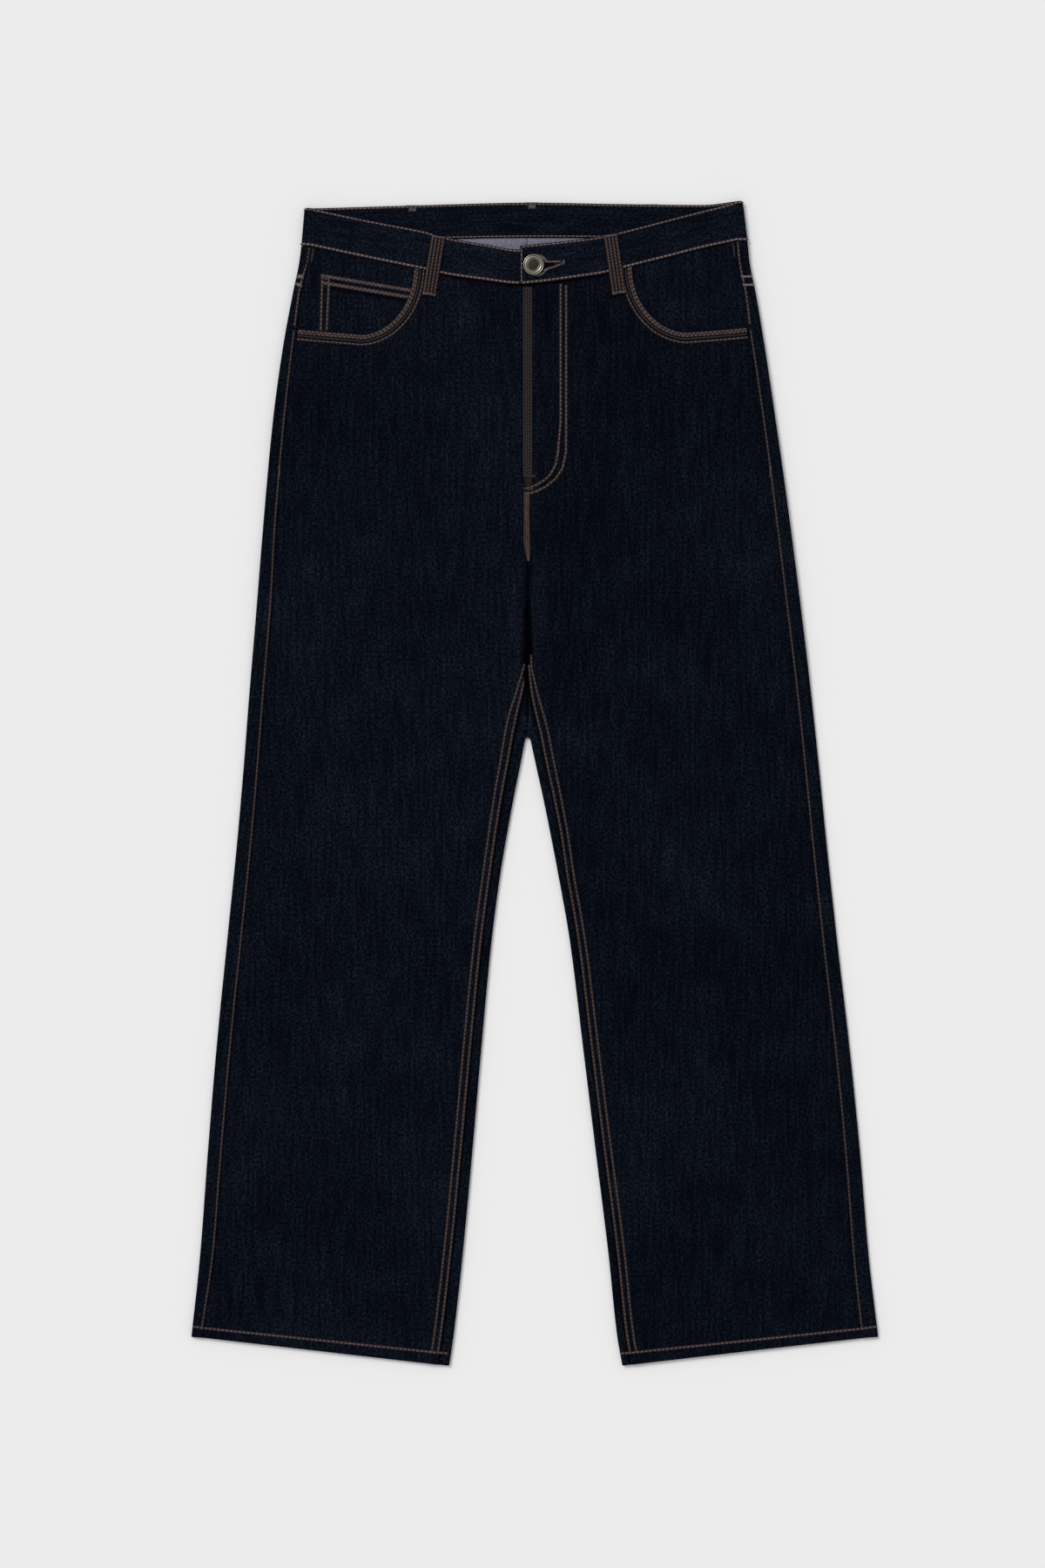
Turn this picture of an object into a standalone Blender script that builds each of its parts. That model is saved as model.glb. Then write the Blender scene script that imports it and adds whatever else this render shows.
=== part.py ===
"""Relaxed fit jeans laid flat on a surface, front up, waist towards +Y.

Sizes are millimetres until MM turns them to metres. Right (r) and left (l) are the wearer's,
so the right leg lies at -X. Z = 0 is the surface that the jeans lie on.
"""
import math
from collections import namedtuple

import bmesh
import bpy
from mathutils import Vector

MM = 0.001

# ---- driving dimensions -------------------------------------------------------------------

DENIM = 1.0             # wall of one layer of denim
SEAM_GAP = 0.3          # space kept between pieces
TIP_GAP = 0.8           # the same beside the crotch
HEM_WALL = 2.2          # turned hem, two layers and the turn
HEM_HEIGHT = 10.0
BAND_WALL = 2.2         # waistband, two layers
SEAT_LIFT = 1.6         # the seat lies on its pockets and loops
PATCH_WALL = 1.3        # back pockets and back loops
LOOP_WALL = 1.3
LOOP_WIDTH = 13.0
LOOP_LENGTH = 58.0
CENTRE_X = -6.6         # centre front and centre back seams
HEM_OUTER_Y = -520.7
HEM_INNER_Y = -547.6
CROTCH_TIP_Y = 44.3     # where the gap between the legs ends
CROTCH_POINT_Y = 110.0  # where the four panels meet, on the front
TIP_RADIUS = 2.5
FLY_END_Y = 268.0
FLY_LAP_X = -10.7       # folded edge of the left front, on top
FLY_LAP_LOW_Y = 212.0   # the lap runs out here, below the fly
FLY_UNDERLAP_X = 2.5    # edge of the right front, beneath
BUTTON_X = -1.2
BUTTON_Y = 488.4
BUTTON_RADIUS = 9.8
SHANK_RADIUS = 2.0

SIDE = {"r": -1, "l": 1}

# Outlines and heights by distance from the waist (y), one column for each leg.
Row = namedtuple("Row", "y r l")

OUTER_EDGE = (
    Row(-520.7, -323.1, 323.1),
    Row(-443.6, -314.9, 314.1),
    Row(-345.2, -307.5, 305.9),
    Row(-246.8, -299.3, 296.0),
    Row(-148.4, -289.5, 284.5),
    Row(-50.0, -279.6, 273.9),
    Row(15.6, -273.9, 267.4),
    Row(81.2, -268.8, 260.4),
    Row(146.8, -263.2, 252.6),
    Row(212.4, -257.9, 244.4),
    Row(278.0, -252.4, 235.7),
    Row(343.6, -246.0, 226.3),
    Row(409.2, -237.0, 216.5),
    Row(458.4, -228.0, 208.3),
    Row(491.2, -221.3, 201.9),
    Row(505.0, -219.6, 200.6),
    Row(547.0, -216.0, 195.6),
)
INNER_EDGE = (
    Row(-547.8, -80.4, 82.4),
    Row(-519.1, -76.3, 77.4),
    Row(-443.6, -67.8, 69.4),
    Row(-345.2, -58.6, 57.2),
    Row(-246.8, -50.0, 45.2),
    Row(-148.4, -40.6, 33.0),
    Row(-82.8, -32.0, 21.5),
    Row(-50.0, -26.4, 15.2),
    Row(-17.2, -20.5, 8.6),
    Row(15.6, -13.9, 1.4),
    Row(42.4, -9.03, -4.17),
)
# Width of the back panel that shows in front of each fold.
SIDE_STRIP = (
    Row(-520.7, 10.7, 16.4),
    Row(-420.0, 14.0, 15.4),
    Row(0.0, 14.8, 14.4),
    Row(160.0, 14.8, 14.4),
    Row(245.0, 12.9, 14.0),
    Row(340.0, 12.2, 12.9),
    Row(425.0, 9.9, 12.6),
    Row(460.0, 7.8, 11.2),
    Row(500.0, 6.8, 10.7),
)
INSEAM_STRIP = (
    Row(-547.8, 11.0, 8.2),
    Row(-411.0, 10.2, 7.8),
    Row(-253.0, 9.4, 7.2),
    Row(-96.0, 8.8, 7.2),
    Row(-43.0, 10.0, 9.1),
    Row(9.0, 11.0, 9.3),
    Row(42.4, 11.4, 9.8),
)

# Height of the cloth at the folds (edge), at the seams of the front and in the middle of it.
Height = namedtuple("Height", "y fold inner middle")
HEIGHT = (
    Height(-548.0, 4.6, 4.6, 3.5),
    Height(-300.0, 4.6, 4.6, 3.0),
    Height(-60.0, 4.6, 4.6, 3.1),
    Height(40.0, 4.7, 4.7, 3.4),
    Height(80.0, 5.2, 5.3, 3.9),
    Height(110.0, 6.0, 4.4, 4.6),
    Height(205.0, 6.6, 4.3, 4.6),
    Height(240.0, 6.6, 4.8, 4.7),
    Height(300.0, 6.6, 4.8, 4.8),
    Height(440.0, 6.6, 5.0, 5.0),
    Height(470.0, 6.6, 5.3, 5.3),
    Height(515.0, 6.6, 5.3, 5.3),
)

HEM_STACK = 5.0         # height over both hems
HEM_EASE = 30.0         # length over which the cloth settles above a hem
SIDE_EASE = 70.0        # the same inwards from a side seam
INNER_EASE = 60.0       # the same inwards from an inner seam
FLY_LAP_RISE = 1.7      # of the left front over the edge of the right one

# Largest folds of the fronts: a soft ridge from a to b.
Fold = namedtuple("Fold", "ax ay bx by width rise")
FOLDS = {
    "r": (
        Fold(-17.0, 96.0, -16.0, 214.0, 5.5, 2.0),     # beside the groove at the crotch
        Fold(-30.0, 60.0, -150.0, -6.0, 13.0, 1.0),
        Fold(-42.0, -26.0, -128.0, -92.0, 12.0, 0.9),
        Fold(-32.0, 150.0, -130.0, 214.0, 15.0, 0.9),
        Fold(-232.0, 60.0, -206.0, 236.0, 15.0, 1.0),
        Fold(-170.0, -160.0, -196.0, -330.0, 17.0, 0.8),
        Fold(-214.0, -446.0, -148.0, -482.0, 13.0, 0.8),
        Fold(-118.0, -290.0, -104.0, -430.0, 14.0, 0.7),
        Fold(-60.0, 330.0, -90.0, 236.0, 16.0, 0.8),
    ),
    "l": (
        Fold(4.0, 96.0, 3.0, 214.0, 5.5, 2.0),
        Fold(20.0, 52.0, 118.0, -22.0, 13.0, 1.0),
        Fold(120.0, -70.0, 214.0, -148.0, 15.0, 1.2),   # ripple across the knee
        Fold(26.0, 154.0, 116.0, 222.0, 15.0, 0.9),
        Fold(226.0, 60.0, 196.0, 226.0, 15.0, 1.0),
        Fold(148.0, -190.0, 168.0, -330.0, 16.0, 0.8),
        Fold(206.0, -432.0, 146.0, -476.0, 13.0, 0.8),
        Fold(92.0, -280.0, 108.0, -410.0, 14.0, 0.7),
        Fold(78.0, 336.0, 102.0, 240.0, 16.0, 0.8),
    ),
}

# Sections of the panels, counted from the hem to the waist.
LEG_LENGTH = 565.0
LEG_SECTIONS = (0, 9.5, 13, 32, 62, 94, 126, 158, 190, 222, 254, 286, 318, 350, 382, 414, 446,
                478, 508, 536, LEG_LENGTH)
LEG_TOP_OUTER_Y = 20.0
LEG_TOP_INNER_Y = 42.4

# Round the tip of the gap the sections turn until they lie along the centre seam.
TipSection = namedtuple("TipSection", "outer_y turn r l strip_end_y height")
TIP_SECTIONS = (
    TipSection(36.0, 40.0, 11.7, 9.7, 53.0, 5.1),
    TipSection(52.0, 63.0, 9.3, 6.9, 64.8, 5.2),
    TipSection(68.0, 80.0, 4.7, 2.9, 84.5, 5.2),
    TipSection(84.0, 90.0, 0.0, 0.0, CROTCH_POINT_Y, 4.4),
)

# Sections of the hip: where each meets the side seam and the centre front.
HipSection = namedtuple("HipSection", "outer_y front_y")
HIP_SECTIONS = (
    HipSection(84.0, CROTCH_POINT_Y + 7.0),
    HipSection(120.0, 134.0),
    HipSection(158.0, 160.0),
    HipSection(196.0, 186.0),
    HipSection(232.0, 212.0),
    HipSection(268.0, 236.0),
    HipSection(300.0, FLY_END_Y - 14.0),
    HipSection(330.0, FLY_END_Y),
    HipSection(360.0, FLY_END_Y + 14.0),
    HipSection(392.0, FLY_END_Y + 26.0),
)

# Scoop of each front pocket: from the side seam along to the turn, then up to the waistband.
Scoop = namedtuple("Scoop", "side_y turn_x turn_y waist_x waist_y")
SCOOP = {
    "r": Scoop(426.4, -163.0, 419.8, -113.4, 484.2),
    "l": Scoop(428.0, 142.7, 421.5, 91.4, 485.7),
}
SCOOP_STEPS = 12
SCOOP_RUN = 0.34        # share of the steps on the near straight run
SCOOP_HEIGHT = 6.8
SCOOP_LIFT_WIDTH = 26.0
FACING_HEIGHT = 3.95
FACING_AT_SIDE = 6.4    # where it meets the side seam
FACING_AT_SCOOP = 5.1   # the same under the corner of the front
FACING_AT_WAIST = 4.9
FACING_UNDER = 12.0     # the facing runs on beneath the front

# Waistband: its upper edge, lower edge and outer face, by x.
Band = namedtuple("Band", "x top low z")
BAND_FRONT_L = (
    Band(-11.5, 505.1, 468.6, 8.6),
    Band(8.0, 507.1, 470.5, 8.6),
    Band(27.0, 509.1, 473.0, 8.6),
    Band(42.0, 511.0, 475.2, 7.8),
    Band(63.1, 514.1, 478.5, 6.5),
    Band(86.9, 519.9, 484.6, 6.3),
    Band(126.3, 530.1, 494.5, 6.3),
    Band(158.3, 538.3, 502.7, 6.4),
    Band(180.0, 543.6, 507.4, 6.7),
    Band(190.0, 547.0, 509.6, 6.8),
)
BAND_BACK = (
    Band(-211.0, 540.6, 505.1, SEAT_LIFT),
    Band(-180.0, 541.4, 507.2, SEAT_LIFT),
    Band(-104.1, 543.7, 511.2, SEAT_LIFT),
    Band(-1.6, 546.1, 512.9, SEAT_LIFT),
    Band(70.5, 544.9, 512.5, SEAT_LIFT),
    Band(158.0, 543.9, 511.2, SEAT_LIFT),
    Band(190.0, 547.3, 509.6, SEAT_LIFT),
)
BAND_FRONT_R = (
    Band(-211.0, 540.6, 504.6, 6.8),
    Band(-196.0, 537.4, 501.4, 6.6),
    Band(-159.1, 529.7, 493.6, 6.4),
    Band(-103.3, 518.7, 482.2, 6.3),
    Band(-80.4, 512.5, 477.2, 6.2),
    Band(-46.0, 506.4, 472.4, 6.1),
    Band(-14.8, 501.6, 468.9, 6.0),
    Band(18.0, 505.0, 473.6, 6.0),
)
BAND_STATIONS = 15      # along each of the three stretches
BAND_FOLD = 5.2         # outer height of the band where it turns back

YOKE_SIDE_Y = 466.8
YOKE_CENTRE_Y = 441.0

# Coin pocket on the right facing: corners of its open edge.
COIN_LEFT_X = -200.5
COIN_RIGHT_X = -114.5
COIN_LEFT_TOP_Y = 477.4
COIN_TOP_FALL = 0.168   # fall of the open edge across its width
COIN_UNDER = 4.0

# Belt loops on the front: middle of the upper end, and of the lower end.
Loop = namedtuple("Loop", "top_x top_y low_x low_y")
FRONT_LOOPS = {
    "r": Loop(-90.2, 515.0, -99.6, 457.2),
    "l": Loop(70.9, 516.4, 79.5, 458.6),
}
BACK_LOOPS = {"r": -114.8, "centre": -2.5, "l": 110.0}

# Seat pockets: centre of the open edge, then half widths and drop of the outline.
POCKET_X = {"r": -120.0, "l": 104.0}
POCKET_TOP_Y = 408.0
POCKET_HALF_TOP = 78.0
POCKET_HALF_LOW = 68.0
POCKET_SIDE_DROP = 128.0
POCKET_POINT_DROP = 158.0
POCKET_TURN_IN = 8.0

FOLD_STEPS = 5          # facets round a fold

# Shares of the way across: the fronts from side seam to inner seam, the backs across the sheet.
FRONT_COLUMNS = (0, 0.05, 0.12, 0.22, 0.35, 0.48, 0.61, 0.73, 0.83, 0.9, 0.945, 0.975, 1)
BACK_COLUMNS = (0, 0.2, 0.4, 0.6, 0.8, 1)
STRIP_COLUMNS = (0, 0.5, 1)


# ---- reading the tables -------------------------------------------------------------------

def smooth(t):
    """Ease from 0 to 1 while t goes from 0 to 1."""
    t = min(max(t, 0.0), 1.0)
    return t * t * (3.0 - 2.0 * t)


def mix(a, b, t):
    return a + (b - a) * t


def read(table, column, at, key="y"):
    """Value of a table's column at a place, on a smooth curve through its rows."""
    places = [getattr(row, key) for row in table]
    values = [getattr(row, column) for row in table]
    if at <= places[0]:
        return values[0]
    if at >= places[-1]:
        return values[-1]
    i = max(k for k in range(len(places) - 1) if places[k] <= at)
    steps = [(values[k + 1] - values[k]) / (places[k + 1] - places[k])
             for k in range(len(places) - 1)]

    def slope(k):
        if k in (0, len(steps)):
            return steps[min(k, len(steps) - 1)]
        if steps[k - 1] * steps[k] <= 0.0:
            return 0.0
        return 2.0 * steps[k - 1] * steps[k] / (steps[k - 1] + steps[k])

    width = places[i + 1] - places[i]
    t = (at - places[i]) / width
    start, end = values[i], values[i + 1]
    return (start * (1 + 2 * t) * (1 - t) ** 2 + end * t * t * (3 - 2 * t)
            + width * t * (1 - t) * (slope(i) * (1 - t) - slope(i + 1) * t))


def seat_lift(y):
    """Height of the underside: the legs lie on the surface, the seat on its pockets."""
    return SEAT_LIFT * smooth((y - 62.0) / 70.0)


def hem_rise(x, y):
    """Distance above the hem, which slants from its inner to its outer corner."""
    leg = "r" if x < CENTRE_X else "l"
    outer_x = read(OUTER_EDGE, leg, HEM_OUTER_Y)
    inner_x = read(INNER_EDGE, leg, HEM_INNER_Y)
    share = min(max((x - inner_x) / (outer_x - inner_x), 0.0), 1.0)
    return y - mix(HEM_INNER_Y, HEM_OUTER_Y, share)


def cloth_height(column, x, y):
    """Height of the cloth by the table, raised where the hems lie on each other."""
    over_hem = 1.0 - smooth((hem_rise(x, y) - HEM_HEIGHT - 4.0) / HEM_EASE)
    return mix(read(HEIGHT, column, y), HEM_STACK, over_hem)


def fold_height(point):
    """Outer height of the cloth where it turns from back to front."""
    return cloth_height("fold", point.x, point.y) - seat_lift(point.y)


def edge_normal(table, leg, y, outward):
    """Point of an outline and its outward direction in plan."""
    reach = 2.0
    rise = (read(table, leg, y + reach) - read(table, leg, y - reach)) / (2.0 * reach)
    point = Vector((read(table, leg, y), y))
    return point, Vector((outward, -outward * rise)).normalized()


# ---- sections of a leg --------------------------------------------------------------------

Section = namedtuple("Section", "outer outer_way side_strip inner inner_way inseam_strip height")


def leg_sections(leg):
    """Sections from the hem to the tip of the gap, the last ones turned round that tip."""
    sections = []
    for rise in LEG_SECTIONS:
        share = rise / LEG_LENGTH
        outer_y = mix(HEM_OUTER_Y, LEG_TOP_OUTER_Y, share)
        inner_y = mix(HEM_INNER_Y, LEG_TOP_INNER_Y, share)
        outer, outer_way = edge_normal(OUTER_EDGE, leg, outer_y, SIDE[leg])
        inner, inner_way = edge_normal(INNER_EDGE, leg, inner_y, -SIDE[leg])
        sections.append(Section(outer, outer_way, read(SIDE_STRIP, leg, outer_y),
                                inner, inner_way, read(INSEAM_STRIP, leg, inner_y),
                                cloth_height("inner", inner.x, inner.y)))
    seam_x = CENTRE_X + SIDE[leg] * SEAM_GAP / 2
    gap_centre = Vector((seam_x, CROTCH_TIP_Y - TIP_RADIUS))
    for tip in TIP_SECTIONS:
        outer, outer_way = edge_normal(OUTER_EDGE, leg, tip.outer_y, SIDE[leg])
        turn = math.radians(tip.turn)
        inner_way = Vector((-SIDE[leg] * math.cos(turn), -math.sin(turn)))
        inner = gap_centre - inner_way * TIP_RADIUS
        strip_end = Vector((seam_x + SIDE[leg] * getattr(tip, leg), tip.strip_end_y))
        sections.append(Section(outer, outer_way, read(SIDE_STRIP, leg, tip.outer_y),
                                inner, inner_way, strip_end, tip.height))
    return sections


def side_seam(section, gap=0.0):
    """Edge of the back panel in front of the side fold, or a seam gap past it."""
    return section.outer - section.outer_way * (section.side_strip + gap)


def inseam(section):
    """Edge of the back panel in front of the inner fold."""
    if isinstance(section.inseam_strip, Vector):
        return section.inseam_strip
    return section.inner - section.inner_way * section.inseam_strip


def beside(points, gaps, towards):
    """Line of points moved sideways by their gaps, towards +x or -x."""
    line = []
    last = len(points) - 1
    for i, (point, gap) in enumerate(zip(points, gaps)):
        way = (points[min(i + 1, last)] - points[max(i - 1, 0)]).normalized()
        line.append(point + Vector((way.y, -way.x)) * towards * gap)
    return line


# ---- height of the fronts -----------------------------------------------------------------

def ridge(x, y, fold):
    """Soft ridge along a fold, fading at both ends."""
    start = Vector((fold.ax, fold.ay))
    run = Vector((fold.bx, fold.by)) - start
    along = (Vector((x, y)) - start).dot(run) / run.length_squared
    across = (Vector((x, y)) - start - run * along).length
    if along < -0.1 or along > 1.1:
        return 0.0
    ends = smooth((along + 0.1) / 0.3) * smooth((1.1 - along) / 0.3)
    return fold.rise * ends * math.exp(-(across / fold.width) ** 2)


def scoop_point(leg, share):
    """Edge of the front at the pocket, from the side seam (0) to the waistband (1)."""
    scoop = SCOOP[leg]
    side_x = read(OUTER_EDGE, leg, scoop.side_y)
    side_x -= SIDE[leg] * (read(SIDE_STRIP, leg, scoop.side_y) + SEAM_GAP)
    if share <= SCOOP_RUN:
        t = share / SCOOP_RUN
        return Vector((mix(side_x, scoop.turn_x, t), mix(scoop.side_y, scoop.turn_y, t)))
    turn = (share - SCOOP_RUN) / (1.0 - SCOOP_RUN) * math.pi / 2
    return Vector((mix(scoop.turn_x, scoop.waist_x, math.sin(turn)),
                   mix(scoop.waist_y, scoop.turn_y, math.cos(turn))))


SCOOP_LINE = {leg: [scoop_point(leg, k / 24) for k in range(25)] for leg in SIDE}


def scoop_distance(leg, x, y):
    return min((point - Vector((x, y))).length for point in SCOOP_LINE[leg])


def centre_edge(leg, y):
    """Inner edge of a front above the crotch point: centre seam, then the fly."""
    seam_x = CENTRE_X + SIDE[leg] * SEAM_GAP / 2
    if leg == "r":
        return mix(seam_x, FLY_UNDERLAP_X, smooth((y - FLY_END_Y - 2.0) / 22.0))
    return mix(seam_x, FLY_LAP_X, smooth((y - FLY_LAP_LOW_Y) / 36.0))


INSEAM_LINE = {leg: [inseam(section) for section in leg_sections(leg)] for leg in SIDE}


def inner_seam_x(leg, y):
    """Inner edge of a front at any height: inseam, crotch or centre."""
    line = INSEAM_LINE[leg]
    if y >= CROTCH_POINT_Y:
        return centre_edge(leg, y)
    if y <= line[0].y:
        return line[0].x
    for below, above in zip(line, line[1:]):
        if below.y <= y <= above.y:
            return mix(below.x, above.x, (y - below.y) / (above.y - below.y))
    return line[-1].x


def front_height(leg, x, y):
    """Outer face of a front panel."""
    side_x = read(OUTER_EDGE, leg, y) - SIDE[leg] * read(SIDE_STRIP, leg, y)
    from_side = abs(x - side_x)
    from_inner = abs(x - inner_seam_x(leg, y))
    middle = cloth_height("middle", x, y)
    z = middle
    z += (cloth_height("fold", x, y) - middle) * (1.0 - smooth(from_side / SIDE_EASE))
    z += (cloth_height("inner", x, y) - middle) * (1.0 - smooth(from_inner / INNER_EASE))
    clear_of_hem = smooth((hem_rise(x, y) - HEM_HEIGHT) / HEM_EASE)
    z += clear_of_hem * sum(ridge(x, y, fold) for fold in FOLDS[leg])
    if y > 360.0:
        scoop_lift = 1.0 - smooth((scoop_distance(leg, x, y) - 2.0) / SCOOP_LIFT_WIDTH)
        z = max(z, mix(z, SCOOP_HEIGHT, scoop_lift))
    if leg == "l":
        above_end = smooth((y - FLY_LAP_LOW_Y + 20.0) / 16.0)
        z += FLY_LAP_RISE * above_end * (1.0 - smooth((x - FLY_UNDERLAP_X - 5.5) / 12.0))
    return z


# ---- building blocks ----------------------------------------------------------------------

collection = None


def finish(name, colour, roughness=0.9, metallic=0.0):
    material = bpy.data.materials.new(name)
    material.use_nodes = True
    shader = material.node_tree.nodes["Principled BSDF"]
    shader.inputs["Base Color"].default_value = (*colour, 1.0)
    shader.inputs["Roughness"].default_value = roughness
    shader.inputs["Metallic"].default_value = metallic
    material.diffuse_color = (*colour, 1.0)
    return material


def add_object(name, mesh, material):
    mesh.name = name
    piece = bpy.data.objects.new(name, mesh)
    mesh.materials.clear()
    mesh.materials.append(material)
    collection.objects.link(piece)
    return piece


def grid(bm, columns, rows, place):
    """Sheet of columns by rows, each point put where place(column, row) says, in millimetres."""
    across = len(columns) - 1
    along = len(rows) - 1
    made = bmesh.ops.create_grid(bm, x_segments=across, y_segments=along, size=0.5)
    for vert in made["verts"]:
        column = columns[round((vert.co.x + 0.5) * across)]
        row = rows[round((vert.co.y + 0.5) * along)]
        vert.co = Vector(place(column, row)) * MM
    return made["verts"]


def wall(name, bm, material, thickness, thick_where=None, thick=None):
    """Give a sheet its thickness on the inner side, more of it where thick_where says."""
    mesh = bpy.data.meshes.new(name)
    bmesh.ops.remove_doubles(bm, verts=bm.verts, dist=0.00001)
    bm.to_mesh(mesh)
    bm.free()
    piece = add_object(name, mesh, material)
    solid = piece.modifiers.new("wall", "SOLIDIFY")
    solid.offset = -1.0
    solid.use_even_offset = True
    solid.thickness = (thick or thickness) * MM
    if thick_where:
        group = piece.vertex_groups.new(name="hem")
        group.add([v.index for v in mesh.vertices if thick_where(v.co / MM)], 1.0, "REPLACE")
        solid.vertex_group = group.name
        solid.thickness_vertex_group = thickness / thick
    for polygon in mesh.polygons:
        polygon.use_smooth = True
    return piece


def in_hem(point):
    return hem_rise(point.x, point.y) < HEM_HEIGHT + 1.0


def turned_point(edge, way, strip, share, angle):
    """Point of cloth that turns at a fold: under at angle 0, on top at 180 degrees."""
    height = fold_height(edge)
    radius = height / 2
    if angle is None:
        plan = edge - way * mix(radius, strip, share)
        z = height
    else:
        plan = edge - way * radius * (1.0 - math.sin(angle))
        z = radius * (1.0 - math.cos(angle))
    return plan.x, plan.y, z + seat_lift(plan.y)


# ---- legs: back panels --------------------------------------------------------------------

def back_point(section, part, share):
    """Outer face of a back panel in one section, part by part across it."""
    if part == "side_strip":
        return turned_point(section.outer, section.outer_way, section.side_strip, 1 - share, None)
    if part == "side_fold":
        return turned_point(section.outer, section.outer_way, 0, 0, math.pi * (1 - share))
    if part == "inner_fold":
        return turned_point(section.inner, section.inner_way, 0, 0, math.pi * share)
    if part == "inseam_strip":
        end = inseam(section)
        start = section.inner - section.inner_way * fold_height(section.inner) / 2
        plan = start.lerp(end, share)
        dip = 1.1 * math.sin(math.pi * share) * smooth((end.y - 60.0) / 50.0)
        return plan.x, plan.y, mix(fold_height(section.inner), section.height, share) - dip
    start = section.outer - section.outer_way * fold_height(section.outer) / 2
    end = section.inner - section.inner_way * fold_height(section.inner) / 2
    plan = start.lerp(end, share)
    return plan.x, plan.y, seat_lift(plan.y)


def columns_of(*parts):
    """Columns across a wrapped panel, without repeating where two parts meet."""
    columns = []
    for part, shares in parts:
        columns += [(part, share) for share in (shares if not columns else shares[1:])]
    return columns


FOLD_COLUMNS = [k / FOLD_STEPS for k in range(FOLD_STEPS + 1)]


def back_panel(leg, material):
    """Lower sheet of a leg and of one side of the seat, wrapped round the folds to the front."""
    bm = bmesh.new()
    sheet = (("side_strip", STRIP_COLUMNS), ("side_fold", FOLD_COLUMNS), ("sheet", BACK_COLUMNS))
    around = sheet + (("inner_fold", FOLD_COLUMNS), ("inseam_strip", (0, 0.35, 0.7, 1)))
    grid(bm, columns_of(*around), leg_sections(leg),
         lambda column, section: back_point(section, *column))

    # above the tip of the gap the sheet ends at the centre back seam
    tip = leg_sections(leg)[-1]
    seat_start = tip.inner - tip.inner_way * fold_height(tip.inner) / 2
    seat_top = YOKE_SIDE_Y - SEAM_GAP
    heights = [row.outer_y for row in HIP_SECTIONS] + [SCOOP[leg].side_y, 446.0, seat_top]

    def seat_point(column, outer_y):
        outer, way = edge_normal(OUTER_EDGE, leg, outer_y, SIDE[leg])
        if outer_y == heights[0]:
            section = tip
        else:
            share = (outer_y - heights[0]) / (heights[-1] - heights[0])
            inner = Vector((seat_start.x, mix(seat_start.y, YOKE_CENTRE_Y - SEAM_GAP, share)))
            section = Section(outer, way, read(SIDE_STRIP, leg, outer_y), inner,
                              Vector((0.0, 0.0)), 0.0, 0.0)
        return back_point(section, *column)

    grid(bm, columns_of(*sheet), heights, seat_point)
    if leg == "r":
        bmesh.ops.reverse_faces(bm, faces=bm.faces)
    return wall("back_panel_" + leg, bm, material, DENIM, in_hem, HEM_WALL)


# ---- fronts -------------------------------------------------------------------------------

def front_rows(leg):
    """Both ends of each row of a front panel, from the hem to the waistband."""
    sections = leg_sections(leg)
    # the walls lean where the strips dip to the crotch, so the gap is wider there
    gaps = [SEAM_GAP] * len(LEG_SECTIONS) + [TIP_GAP] * len(TIP_SECTIONS)
    inner_line = beside([inseam(section) for section in sections], gaps, SIDE[leg])
    rows = [(side_seam(section, SEAM_GAP), inner)
            for section, inner in zip(sections, inner_line)]
    for hip in HIP_SECTIONS:
        outer, way = edge_normal(OUTER_EDGE, leg, hip.outer_y, SIDE[leg])
        strip = read(SIDE_STRIP, leg, hip.outer_y) + SEAM_GAP
        inner = Vector((centre_edge(leg, hip.front_y), hip.front_y))
        if hip is HIP_SECTIONS[0]:
            rows[-1] = (outer - way * strip, inner)
        else:
            rows.append((outer - way * strip, inner))
    first_inner = HIP_SECTIONS[-1].front_y + 14.0
    for k in range(SCOOP_STEPS + 1):
        share = k / SCOOP_STEPS
        outer = scoop_point(leg, share)
        inner_x = centre_edge(leg, HIP_SECTIONS[-1].front_y + 40.0)
        low = band_low(leg, inner_x) - SEAM_GAP
        rows.append((outer, Vector((inner_x, mix(first_inner, low, share)))))
    return rows


def band_table(leg):
    return BAND_FRONT_L if leg == "l" else BAND_FRONT_R


def band_low(leg, x):
    """Lower edge of the waistband on the front."""
    return read(band_table(leg), "low", x, key="x")


def front_panel(leg, material):
    """Upper sheet of a leg, from the hem to the waistband, with the scoop cut out."""
    rows = front_rows(leg)
    top = rows[-1]

    def place(share, row):
        x, y = row[0].lerp(row[1], share)
        if row is top:
            y = band_low(leg, x) - SEAM_GAP
        return x, y, front_height(leg, x, y)

    bm = bmesh.new()
    grid(bm, FRONT_COLUMNS, rows, place)
    if leg == "l":
        bmesh.ops.reverse_faces(bm, faces=bm.faces)
    return wall("front_panel_" + leg, bm, material, DENIM, in_hem, HEM_WALL)


# ---- yokes, facings, coin pocket ----------------------------------------------------------

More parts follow.
